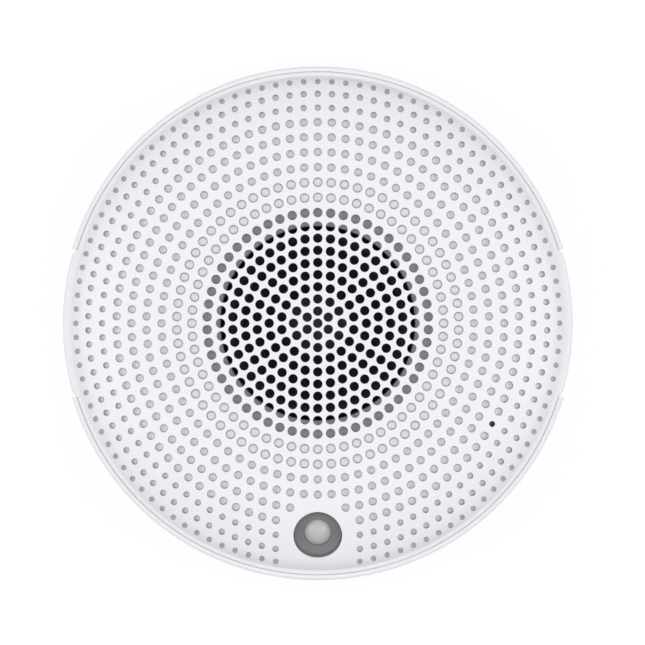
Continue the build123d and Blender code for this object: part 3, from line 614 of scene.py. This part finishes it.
can_sleeve = surface("capacitor_sleeve", (0.02, 0.03, 0.07), 0.35, grain=900, relief=0.00001, spread=0.15)
chip_black = surface("chip_epoxy", (0.02, 0.02, 0.021), 0.6, grain=2600, relief=0.00002, spread=0.15)
sink_black = surface("sink_anodised", (0.03, 0.03, 0.033), 0.4, 0.7, 1200, 0.00001, stretch=(1, 8, 1))
button_grey = surface("button_plastic", (0.3, 0.3, 0.31), 0.45, grain=2000, relief=0.00001)
tag_brown = surface("tag_board", (0.25, 0.13, 0.05), 0.6, grain=1200, relief=0.00002, spread=0.15)
lead_red = surface("lead_sleeve", (0.45, 0.02, 0.02), 0.42, grain=900, relief=0.00001)
ivory = surface("connector_plastic", (0.72, 0.66, 0.5), 0.45, grain=1800, relief=0.00001)

add_piece(build_cover(), "front_cover_moulded", white, "cover_white", "front_cover", body="cover")


# Motion sensor: a funnel whose lip follows the dome, and a shallow lens
# Heights are from the sensor's own plane
bezel_radius = 7.45
bowl_foot = 4.3
bowl_mouth = bowl_radius - 0.02
bowl_top = -1.3
bowl_depth = 1.42
lip_setback = 0.15
# The funnel follows the dome over the first level; the foot of its outer wall, under the second, goes half way
plane_level = -2.7
half_level = -1.9
lens_radius = 4.28
lens_inside = 3.5
lens_wall = 0.7
lens_rise = 2.3
lens_top = -0.9


def lip_shift(x, y, rounds=6):
    """Height over the sensor's own plane at which the dome, less the lip's setback, is met."""
    height = 0.0
    for _ in range(rounds):
        point = pir_place @ Vector((x, y, height))
        level = dome_height(math.hypot(point.x, point.y), lip_setback)
        height += (level - point.z) * math.cos(pir_tilt)
    return height


def build_bezel():
    """Funnel that is steep at its lip and flat at the lens."""
    corners = [(8.7, -5.2), (8.7, -4.2), (bezel_radius, -4.2), (bezel_radius, -2.0)]
    corners += [(7.44, -1.1), (7.4, -0.7), (7.34, -0.4), (7.28, -0.24), (7.24, -0.2), (bowl_radius, -0.24)]
    corners += [(bowl_radius, -0.7), (bowl_mouth, bowl_top)]
    swing, bowl_steps = math.radians(65), 10
    for step in range(1, bowl_steps + 1):
        turn = swing * step / bowl_steps
        share = (math.cos(turn) - math.cos(swing)) / (1 - math.cos(swing))
        fall = bowl_depth * math.sin(turn) / math.sin(swing)
        corners.append((bowl_foot + (bowl_mouth - bowl_foot) * share, bowl_top - fall))
    corners += [(bowl_foot, -3.2), (5.4, -3.2), (5.4, -5.2)]
    bm = turned(corners, large_steps)
    for vert in bm.verts:
        radius = math.hypot(vert.co.x, vert.co.y)
        if vert.co.z > plane_level and radius > bowl_foot + 0.01:
            share = min(1.0, (radius - bowl_foot) / (bowl_radius - bowl_foot))
            if vert.co.z < half_level and radius > bezel_radius - 0.01:
                share = 0.5
            scale = max(1.0, bowl_radius / radius)
            vert.co.z += share * lip_shift(vert.co.x * scale, vert.co.y * scale)
    bmesh.ops.transform(bm, matrix=pir_place, verts=bm.verts)
    bmesh.ops.recalc_face_normals(bm, faces=bm.faces)
    return bm


def build_lens():
    """Shallow dome with a flange behind the funnel."""
    outer = [(r, z + lens_top) for r, z in dome_line(lens_radius, -lens_rise, lens_rise, 12)]
    inner = [(r * lens_inside / lens_radius, z - lens_wall - 0.1 * (r / lens_radius) ** 2) for r, z in outer]
    flange = [(5.2, -3.2), (5.3, -3.3), (5.3, -3.9), (5.2, -4.0), (3.6, -4.0)]
    return turned(outer + flange + inner[::-1], middle_steps, pir_place)


add_piece(build_bezel(), "pir_bezel_funnel", bezel_grey, "bezel_grey", "pir_bezel", body="cover")
add_piece(build_lens(), "pir_lens_dome", lens_pale, "lens_clouded", "pir_lens", body="cover")


# Helpers for the pieces inside

def block(size, place=Matrix(), edge=0.15):
    """Box with rounded edges that stands on its place."""
    bm = bmesh.new()
    bmesh.ops.create_cube(bm, size=1)
    bmesh.ops.scale(bm, vec=size, verts=bm.verts)
    bmesh.ops.translate(bm, vec=(0, 0, size[2] / 2), verts=bm.verts)
    if edge:
        round_edges(bm, bm.edges[:], edge)
    bmesh.ops.transform(bm, matrix=place, verts=bm.verts)
    return bm


def round_edges(bm, edges, width):
    """Rounds some edges of a mesh."""
    bmesh.ops.bevel(
        bm, geom=edges, offset=width, offset_type="OFFSET", segments=2, profile=0.5, affect="EDGES",
        clamp_overlap=True, material=-1,
    )


def rounded_copy(node, width, limit=40.0):
    """Merged copy of a node's mesh with its sharp edges rounded."""
    bm = bmesh.new()
    bm.from_mesh(nodes[node].data)
    bmesh.ops.scale(bm, vec=(1 / MM, 1 / MM, 1 / MM), verts=bm.verts)
    bmesh.ops.remove_doubles(bm, verts=bm.verts, dist=2 * merge_gap)
    bmesh.ops.dissolve_limit(bm, angle_limit=math.radians(0.5), verts=bm.verts, edges=bm.edges)
    if width:
        sharp = [e for e in bm.edges if e.is_manifold and e.calc_face_angle(0) > math.radians(limit)]
        round_edges(bm, sharp, width)
    bmesh.ops.recalc_face_normals(bm, faces=bm.faces)
    return bm


def add_rounded(node, width, name, material, slot):
    """Adds a rounded copy of a node on the base, in place of the node."""
    add_piece(rounded_copy(node, width), name, material, slot, node)


def joined(parts):
    """One mesh of several."""
    whole = bmesh.new()
    for part in parts:
        join(whole, part)
    return whole


def copies(source, places):
    """One mesh of a mesh set at several places."""
    held = bpy.data.meshes.new("held")
    source.to_mesh(held)
    source.free()
    whole = bmesh.new()
    for place in places:
        part = bmesh.new()
        part.from_mesh(held)
        bmesh.ops.transform(part, matrix=place, verts=part.verts)
        join(whole, part)
    bpy.data.meshes.remove(held)
    return whole


# Heights of the solids, and spots on the board as (radius, angle)
board_top = 27.017
frame_top = 33.0
ear_circle = 41.5
ear_angles = (45, 135, 225, 315)
post_circle = 51.0
post_angles = (150, 210, 270, 330, 390)
wall_screw_circle = 66.0
transformer_spot = (57, 118)
capacitor_spots = [(60.5, angle) for angle in (14, 24, 34)]
inductor_spots = [(57, angle) for angle in (292, 304)]
processor_spot = (57, 180)
chip_spots = [(58, angle) for angle in (162, 198, 252)]
switch_spot = (54, 42)
microphone_spot = (62.55, -30)
sensor_spot = (pir_circle, -90)
connector_spot = (52.6, 0)

add_rounded("base_housing", 0.25, "base_tray", base_white, "base_white")
add_rounded("speaker_chamber", 0.3, "chamber_cup", black, "chamber_black")
add_rounded("driver_frame", 0.2, "driver_basket", frame_black, "frame_black")

# From here on, profiles are (radius, height) corners
grommet_middle = (16, 57)
grommet = [(7, 0.6), (7.3, 0.2), (9.2, 0.2), (9.4, 0.4), (9.4, 2.4), (11.3, 2.4), (11.5, 2.6), (11.5, 3.5)]
grommet += [(11.35, 3.85), (11, 4), (9.6, 4), (9.4, 3.7), (9.2, 4), (7.5, 4), (7.15, 3.85), (7, 3.5)]
grommet = turned(grommet, middle_steps, move(*grommet_middle))
add_piece(grommet, "cable_grommet_ring", grommet_rubber, "grommet_rubber", "cable_grommet")


def build_screw():
    """Screw on its seat: a pan head with a cross recess, and a shank with ridges."""
    corners = [(0, 1.6), (1.2, 1.57), (2, 1.42), (2.45, 1.08), (2.66, 0.6), (2.7, 0.25), (2.6, 0)]
    corners += [(1.3, 0), (1.15, -0.3)]
    ridge_count, ridge_pitch = 12, 0.58
    for ridge in range(ridge_count):
        level = -0.4 - ridge_pitch * ridge
        corners += [(1.12, level), (1.4, level - 0.25), (1.12, level - 0.5)]
    corners += [(0.8, -7.7), (0, -8)]
    screw = turned(corners, pin_steps)
    length, width, height = 2.9, 0.62, 1.2
    recess = move(z=0.75)
    cross = block((length, width, height), recess, 0.1)
    cross = carve(cross, block((width, length, height), recess, 0.1), "UNION")
    return carve(screw, cross, "DIFFERENCE")


# Chamber screws come from below; each screw's recess is turned by its own angle
head_down = Matrix.Rotation(math.pi, 4, "X")
chamber_seat = 1.9
screw_places = {
    "driver_screws": [at(ear_circle, a, frame_top, a * 1.7) for a in ear_angles],
    "chamber_screws": [at(ear_circle, a, chamber_seat, a * 0.6) @ head_down for a in ear_angles],
    "board_screws": [at(post_circle, a, board_top, a * 2.3) for a in post_angles],
}
for name, places in screw_places.items():
    add_piece(copies(build_screw(), places), name + "_cross_head", zinc, "zinc_steel", name)

# Loudspeaker motor
yoke = [(2.5, 5.9), (2.8, 5.6), (21.6, 5.6), (22, 6), (22, 8.6), (21.6, 9), (7.75, 9), (7.45, 9.3)]
yoke += [(7.45, 20.2), (7.15, 20.5), (2.8, 20.5), (2.5, 20.2)]
add_piece(turned(yoke, wide_steps), "pole_yoke_turned", zinc, "zinc_steel", "pole_yoke")
magnet = [(11.5, 9.3), (11.8, 9), (23.4, 9), (24, 9.6), (24, 16.4), (23.4, 17), (11.8, 17), (11.5, 16.7)]
add_piece(turned(magnet, wide_steps), "ring_magnet_ground", ferrite, "ferrite", "ring_magnet")
plate = [(9, 17.2), (9.2, 17), (20.7, 17), (21, 17.3), (21, 20.2), (20.7, 20.5), (9.2, 20.5), (9, 20.3)]
add_piece(turned(plate, wide_steps), "top_plate_turned", zinc, "zinc_steel", "top_plate")
former_outside, former_top = 8.1, 25.7
former = [(7.85, 14.95), (former_outside, 14.95), (former_outside, former_top), (7.85, former_top)]
former = turned(former, round_steps)
add_piece(former, "coil_former_tube", foil, "former_foil", "coil_former", body="diaphragm")
coil_bottom, coil_turns, wire_pitch = 15.25, 20, 0.35
coil = [(former_outside, 22.25), (former_outside, coil_bottom)]
for wire in range(coil_turns):
    level = coil_bottom + wire_pitch * wire
    coil += [(8.5, level + 0.02), (8.6, level + 0.175), (8.5, level + 0.33)]
coil = turned(coil, round_steps)
add_piece(coil, "voice_coil_wound", copper, "coil_copper", "voice_coil", body="diaphragm")

# Cone with stiffening ribs, dust cap, roll surround and folded spider
cone_steps = 24
cone_run, cone_rise, cone_wall = 15.2, 7.3, 0.7
ribs = {8: 0.18, 13: 0.18, 18: 0.18}
upper = []
for step in range(cone_steps + 1):
    share_run, share_rise = cone_run * step / cone_steps, cone_rise * step / cone_steps
    upper.append((former_outside + share_run, former_top + share_rise + ribs.get(step, 0.0)))
lower = [(radius, height - cone_wall) for radius, height in upper]
rim = [(24.7, frame_top), (24.8, 32.9), (24.8, 32.4), (24.7, 32.3)]
cone = turned(upper + rim + lower[::-1], wide_steps)
add_piece(cone, "cone_ribbed", paper, "cone_paper", "cone", body="diaphragm")

cap_foot = 26.42
cap = dome_line(9.6, cap_foot, 3.2) + dome_line(9.1, cap_foot, 2.7)[::-1]
cap = turned(cap, round_steps)
add_piece(cap, "dust_cap_dome", cap_paint, "cap_black", "dust_cap", body="diaphragm")

# The surround and the spider are drawn in sectors
sectors = 12
sector_angle = math.tau / sectors


def sector_mesh(corners, index):
    """Closed mesh of one sector of a turned profile."""
    bm = bmesh.new()
    line = [bm.verts.new((radius, 0, height)) for radius, height in corners]
    edges = [bm.edges.new(pair) for pair in zip(line, line[1:] + line[:1])]
    made = bmesh.ops.spin(
        bm, geom=line + edges, cent=(0, 0, 0), axis=(0, 0, 1), angle=sector_angle, steps=8
    )["geom_last"]
    bmesh.ops.contextual_create(bm, geom=edges)
    bmesh.ops.contextual_create(bm, geom=[g for g in made if isinstance(g, bmesh.types.BMEdge)])
    turn = Matrix.Rotation(sector_angle * (index - 0.5), 3, "Z")
    bmesh.ops.rotate(bm, verts=bm.verts, cent=(0, 0, 0), matrix=turn)
    bmesh.ops.recalc_face_normals(bm, faces=bm.faces)
    return bm


def add_sectors(name, corners, outside, inside, level, material, node, slot):
    """Adds a ring of sectors; their outside and inside radii and level are handed on to add_piece, which does
    not use them.
    """
    for index in range(sectors):
        out = Vector((math.cos(sector_angle * index), math.sin(sector_angle * index), 0)) * MM
        lift = Vector((0, 0, level * MM))
        held = outside * math.cos(sector_angle / 2)
        bend = ("base", "diaphragm", out * held + lift, out * inside + lift)
        add_piece(sector_mesh(corners, index), f"{name}_{index + 1}", material, slot, node, body=bend)


roll_middle = (27.3, frame_top)
roll_top = arc_corners(roll_middle, 2.5, 180, 0, 16)
roll_under = arc_corners(roll_middle, 2.0, 0, 180, 16)
surround = [(23.3, 33.5), (24.75, 33.5)] + roll_top[3:-3]
surround += [(29.85, 33.5), (37.8, 33.5), (38, 33.3), (38, frame_top)] + roll_under + [(23.3, frame_top)]
add_sectors("surround_roll", surround, 29.8, 24.9, frame_top, rubber, "surround", "surround_rubber")
fold_start, fold_run, fold_steps, fold_height = 8.7, 8, 48, 0.8
spider_level, spider_half = 23.2, 0.25
fold_line = []
for step in range(fold_steps + 1):
    radius = fold_start + fold_run * step / fold_steps
    fold_line.append((radius, spider_level + fold_height * math.sin(math.pi * (radius - fold_start) / 2)))
spider = [(former_outside, 23.45)] + [(r, z + spider_half) for r, z in fold_line]
spider += [(19.1, 23.45), (19.1, 22.95)] + [(r, z - spider_half) for r, z in fold_line[::-1]]
spider.append((former_outside, 22.95))
add_sectors("spider_fold", spider, 16.7, 8.9, spider_level, cloth, "spider", "spider_cloth")

gasket = [(30.2, 34.1), (30.4, 33.7), (30.8, 33.5), (37.4, 33.5), (37.8, 33.7), (38, 34.1), (38, 38.7)]
gasket += [(37.8, 39.1), (37.4, 39.3), (30.8, 39.3), (30.4, 39.1), (30.2, 38.7)]
add_piece(turned(gasket, large_steps), "driver_gasket_foam", foam, "gasket_foam", "driver_gasket")

# Terminal tag with eyelets, two leads and their connector
add_rounded("terminal_tag", 0.12, "terminal_tag_plate", tag_brown, "tag_board")
eyelet = [(0, 0.9), (0.75, 0.9), (0.75, -0.15), (1.2, -0.15), (1.3, 0), (1.2, 1.1), (0.95, 1.25), (0, 1.25)]
tag_face, tag_level = 33.85, 28
across = Matrix.Rotation(math.pi / 2, 4, "Y")
eyelet_places = [move(tag_face, side, tag_level) @ across for side in (-1.5, 1.5)]
eyelets = copies(turned(eyelet, dot_steps), eyelet_places)
add_piece(eyelets, "terminal_eyelets", zinc, "zinc_steel")
for side, name, look in ((1, "speaker_lead_red", lead_red), (-1, "speaker_lead_black", rubber)):
    lead = rounded_copy("speaker_leads", 0)
    bmesh.ops.delete(lead, geom=[v for v in lead.verts if v.co.y * side < 0], context="VERTS")
    add_piece(lead, name, look, "lead_sleeve", "speaker_leads")
housing = rounded_copy("lead_connector", 0.3)
for side in (-1.9, 1.9):
    housing = carve(housing, block((3.2, 1.5, 2), move(52.9, side, 32.2), 0.1), "DIFFERENCE")
housing = carve(housing, block((0.9, 5, 1.6), move(49.6, 0, 32.5), 0.1), "DIFFERENCE")
add_piece(housing, "lead_connector_shell", ivory, "connector_plastic", "lead_connector")

# Board with its screw pads
add_rounded("main_board", 0.08, "main_board_plate", board_green, "board_green")
pad = turned([(1.6, -0.02), (3.1, -0.02), (3.1, 0.05), (1.6, 0.05)], pad_steps)
pads = copies(pad, [at(post_circle, a, board_top) for a in post_angles])
add_piece(pads, "board_screw_pads", gold, "contact_gold")


def flat_spot(radius, angle):
    """Polar position in the plane of the board."""
    return Vector((radius * math.cos(math.radians(angle)), radius * math.sin(math.radians(angle))))


# Small parts are strewn over the board, clear of the large ones: each of those keeps a radius free
kept_free = [(transformer_spot, 11.5), (processor_spot, 13), (switch_spot, 5.5), (microphone_spot, 5.5)]
kept_free += [(sensor_spot, 6.5), (connector_spot, 6)]
kept_free += [(spot, 5.5) for spot in capacitor_spots] + [(spot, 6.5) for spot in inductor_spots]
kept_free += [(spot, 7.5) for spot in chip_spots]
kept_free += [((post_circle, angle), 4.2) for angle in post_angles]
kept_free += [((wall_screw_circle, angle), 7.5) for angle in ear_angles]
taken = [(flat_spot(*spot), clear) for spot, clear in kept_free]
small_parts, small_clear, small_end, via_offset = 130, 2.4, 0.3, 1.4
strewn_band, strewn_arcs = (48, 65), ((118, 405), (200, 340))
bay_low, bay_left, bay_right = 28, -16, 36
draw = random.Random(7)
chip_bodies, chip_ends, vias = [], [], []
while len(chip_bodies) < small_parts:
    radius = draw.uniform(*strewn_band)
    angle = draw.choice([draw.uniform(*arc) for arc in strewn_arcs])
    spot = flat_spot(radius, angle)
    in_cable_bay = spot.y > bay_low and bay_left < spot.x < bay_right
    if in_cable_bay or any((spot - centre).length < clear for centre, clear in taken):
        continue
    taken.append((spot, small_clear))
    place = at(radius, angle, board_top, draw.choice((0, 90)))
    if len(chip_bodies) % 3 == 2:
        vias.append(place)
    length = draw.choice((1.6, 1.6, 2.0))
    chip_bodies.append(block((length - 2 * small_end, 0.8, 0.5), place, 0))
    for end in (-1, 1):
        reach = end * (length - small_end) / 2
        chip_ends.append(block((small_end, 0.84, 0.54), place @ move(reach), 0))
add_piece(joined(chip_bodies), "board_resistors", chip_black, "chip_black")
add_piece(joined(chip_ends), "board_solder_ends", zinc, "zinc_steel")
via = turned([(0, 0.04), (0.3, 0.04), (0.34, 0), (0, -0.02)], via_steps)
add_piece(copies(via, [place @ move(0, via_offset) for place in vias]), "board_vias", gold, "contact_gold")


def legs(size, count, pitch, width=0.34):
    """Gull-wing legs around a square package."""
    parts = []
    for side in range(4):
        turn = spin(90 * side)
        for index in range(count):
            along = (index - (count - 1) / 2) * pitch
            parts.append(block((0.5, width, 0.14), turn @ move(size / 2 + 0.18, along, 0.5), 0))
            parts.append(block((0.14, width, 0.6), turn @ move(size / 2 + 0.4, along, 0.02), 0))
            parts.append(block((0.6, width, 0.12), turn @ move(size / 2 + 0.65, along, 0), 0))
    return joined(parts)


def package(size, height):
    """Moulded chip with rounded edges and a dot at its first leg."""
    body = block((size, size, height), edge=0.2)
    corner = move(size * 0.35, size * 0.35, height - 0.12)
    dot = turned([(0, 0), (0.45, 0), (0.45, 1), (0, 1)], dot_steps, corner)
    return carve(body, dot, "DIFFERENCE")


chip_size, core_size = 8, 14
chip_places = [at(*spot, board_top) for spot in chip_spots]
chips = copies(package(chip_size, 1.1), chip_places)
add_piece(chips, "board_chip_bodies", chip_black, "chip_black", "board_chips")
add_piece(copies(legs(chip_size, 9, 0.8), chip_places), "board_chip_legs", zinc, "zinc_steel")
core_place = [at(*processor_spot, board_top)]
add_piece(copies(package(core_size, 1.4), core_place), "processor_body", chip_black, "chip_black", "processor")
add_piece(copies(legs(core_size, 22, 0.6), core_place), "processor_legs", zinc, "zinc_steel")
add_rounded("heat_sink", 0.22, "heat_sink_fins", sink_black, "sink_black")

# Transformer: two ferrite halves and a winding under three bands of tape
place = at(*transformer_spot, board_top)
halves = [block((13, 13, 3.2), place @ move(z=level), 0.35) for level in (0, 6.3)]
add_piece(joined(halves), "transformer_core", ferrite, "transformer_ferrite", "power_transformer")
tape = [block((9.8, 12.6, 3.2), place @ move(z=3.15), 0.6)]
tape += [block((10.05, 1.6, 2.9), place @ move(0, side * 3.4, 3.3), 0.1) for side in (-1, 0, 1)]
add_piece(joined(tape), "transformer_winding", yellow_tape, "transformer_ferrite")

# Capacitors: sleeve with a crimp, and a scored can top
sleeve = [(0, 0), (3.7, 0), (3.9, 0.2), (3.9, 0.9), (3.6, 1.2), (3.6, 1.5), (3.9, 1.9), (4, 2.2), (4, 7.9)]
sleeve += [(3.88, 8.3), (3.6, 8.5), (3.3, 8.45), (3.2, 8.25), (0, 8.25)]
can_places = [at(radius, angle, board_top, angle * 3) for radius, angle in capacitor_spots]
sleeves = copies(turned(sleeve, small_steps), can_places)
add_piece(sleeves, "capacitor_sleeves", can_sleeve, "capacitor_can", "bulk_capacitors")
lid = turned([(0, 8.2), (3.25, 8.2), (3.25, 8.38), (3.1, 8.44), (0, 8.44)], small_steps)
for turn in (0, 90):
    score = block((5, 0.22, 1), spin(turn) @ move(z=8.34), 0)
    lid = carve(lid, score, "DIFFERENCE")
add_piece(copies(lid, can_places), "capacitor_tops", zinc, "zinc_steel")

# Inductors: ferrite block with a well, a drum and its winding
coil_places = [at(*spot, board_top) for spot in inductor_spots]
well = turned([(0, 3.6), (3.2, 3.6), (3.2, 6), (0, 6)], small_steps)
body = carve(block((8, 8, 5), edge=0.7), well, "DIFFERENCE")
add_piece(copies(body, coil_places), "inductor_blocks", ferrite, "transformer_ferrite", "output_inductors")
drum = turned([(0, 3.5), (2.5, 3.5), (2.5, 4.6), (2.3, 4.85), (0, 4.85)], small_steps)
add_piece(copies(drum, coil_places), "inductor_drums", sink_black, "transformer_ferrite")
winding = [(2.5, 3.55), (3.15, 3.55), (3.2, 3.7), (3.1, 3.85), (3.2, 4), (3.1, 4.15), (3.15, 4.25), (2.5, 4.25)]
add_piece(copies(turned(winding, small_steps), coil_places), "inductor_windings", copper, "coil_copper")

# Network jack
add_rounded("network_jack", 0.25, "network_jack_insert", jack_black, "jack_plastic")
add_rounded("jack_shield", 0.12, "jack_shield_folded", zinc, "zinc_steel")
add_rounded("jack_contacts", 0.1, "jack_contact_wires", gold, "contact_gold")

# Switch with its legs, button, microphone and its boot
add_rounded("control_switch", 0.15, "control_switch_body", black, "jack_plastic")
switch = at(*switch_spot, board_top)
leg_spots = [(x, y) for x in (-3.25, 3.25) for y in (-2.2, 2.2)]
pins = [block((0.5, 0.7, 1.2), switch @ move(x, y), 0.1) for x, y in leg_spots]
add_piece(joined(pins), "control_switch_legs", zinc, "zinc_steel")
button_seat = board_top + 2.9
button = [(0, 0), (1.75, 0), (1.75, 2.3), (1.66, 2.5), (1.45, 2.6), (1.1, 2.52), (0, 2.45)]
button = turned(button, small_steps, at(*switch_spot, button_seat))
add_piece(button, "control_button_cap", button_grey, "button_plastic", "control_button", body="button")
add_rounded("microphone", 0.25, "microphone_can", zinc, "zinc_steel")
add_rounded("mic_boot", 0.3, "mic_boot_moulded", rubber, "grommet_rubber")

# Motion sensor can with its window
sensor_place = move(0, -pir_circle, board_top)
can = [(0, 0), (4.5, 0), (4.6, 0.1), (4.6, 0.4), (4.5, 0.5), (4.15, 0.5), (4.1, 0.6), (4.1, 3.6)]
can += [(4, 3.95), (3.7, 4.2), (0, 4.2)]
window_cut = block((5, 3.75, 1), move(z=3.85), 0.15)
can = carve(turned(can, middle_steps), window_cut, "DIFFERENCE")
add_piece(copies(can, [sensor_place]), "pir_sensor_can", zinc, "zinc_steel", "pir_sensor")
window = block((5, 3.75, 0.2), sensor_place @ move(z=3.8), 0.06)
add_piece(window, "pir_sensor_window", chip_black, "chip_black")

# Camera straight over the face, far away; the view is measured in metres at the height of the face's edge
camera_distance = 4.0
camera_shift = (0.00147, 0.00024)
view_height = 0.0313
view_width = 0.2008
sensor_width = 36
camera = bpy.data.objects.new("camera", bpy.data.cameras.new("camera"))
scene.collection.objects.link(camera)
camera.location = (*camera_shift, camera_distance)
camera.data.sensor_width = sensor_width
camera.data.lens = sensor_width * (camera_distance - view_height) / view_width
camera.data.clip_end = 20
camera.data.dof.use_dof = False
scene.camera = camera

# Studio: a sky that is bright overhead and dim at the horizon, and a soft lamp on each side
sky_low, sky_high = 0.12, 0.98
lamp_power, lamp_size = 3.2, 0.7
lamp_reach, lamp_height, lamp_aim = 0.8, 0.75, 0.03
world = bpy.data.worlds.new("studio")
scene.world = world
world.use_nodes = True
tree = world.node_tree
sky = tree.nodes["Background"]
sky.inputs["Color"].default_value = (1, 1, 1, 1)
place = add_node(tree, "TexCoord")
split = add_node(tree, "SeparateXYZ")
fade = add_node(tree, "MapRange", To_Min=sky_low, To_Max=sky_high)
link = tree.links.new
link(place.outputs["Generated"], split.inputs["Vector"])
link(split.outputs["Z"], fade.inputs["Value"])
link(fade.outputs["Result"], sky.inputs["Strength"])
scene.view_settings.view_transform = "Standard"

for side in (-1, 1):
    lamp = bpy.data.lights.new("side_lamp", "AREA")
    lamp.shape = "RECTANGLE"
    lamp.size = lamp_size
    lamp.size_y = lamp_size
    lamp.energy = lamp_power
    holder = bpy.data.objects.new("side_lamp", lamp)
    holder.location = (side * lamp_reach, 0, lamp_height)
    beam = Vector((-side * lamp_reach, 0, lamp_aim - lamp_height))
    holder.rotation_euler = beam.to_track_quat("-Z", "Y").to_euler()
    scene.collection.objects.link(holder)

# Floor: white to the camera and in reflections, with part of its shadow kept
floor_grey, floor_rough = 0.8, 0.9
glow_strength, glow_share = 1.125, 0.7
floor_reach, floor_drop = 4, 0.0002
floor_look = bpy.data.materials.new("floor_white")
floor_look.use_nodes = True
tree = floor_look.node_tree
shader = tree.nodes["Principled BSDF"]
shader.inputs["Base Color"].default_value = (floor_grey, floor_grey, floor_grey, 1)
shader.inputs["Roughness"].default_value = floor_rough
glow = add_node(tree, "Emission", Strength=glow_strength)
mix = add_node(tree, "MixShader")
ray = add_node(tree, "LightPath")
seen = math_node(tree, "MAXIMUM")
clear = math_node(tree, "MAXIMUM")
part = math_node(tree, "MULTIPLY", glow_share)
link = tree.links.new
link(ray.outputs["Is Camera Ray"], seen.inputs[0])
link(ray.outputs["Is Glossy Ray"], seen.inputs[1])
link(seen.outputs["Value"], clear.inputs[0])
link(ray.outputs["Is Transmission Ray"], clear.inputs[1])
link(clear.outputs["Value"], part.inputs[0])
link(part.outputs["Value"], mix.inputs["Fac"])
link(shader.outputs["BSDF"], mix.inputs[1])
link(glow.outputs["Emission"], mix.inputs[2])
link(mix.outputs["Shader"], tree.nodes["Material Output"].inputs["Surface"])
floor_bm = bmesh.new()
bmesh.ops.create_grid(floor_bm, x_segments=1, y_segments=1, size=floor_reach)
bmesh.ops.translate(floor_bm, vec=(0, 0, -floor_drop), verts=floor_bm.verts)
floor_mesh = bpy.data.meshes.new("floor")
floor_bm.to_mesh(floor_mesh)
floor_bm.free()
floor_mesh.materials.append(floor_look)
floor = bpy.data.objects.new("floor", floor_mesh)
scene.collection.objects.link(floor)
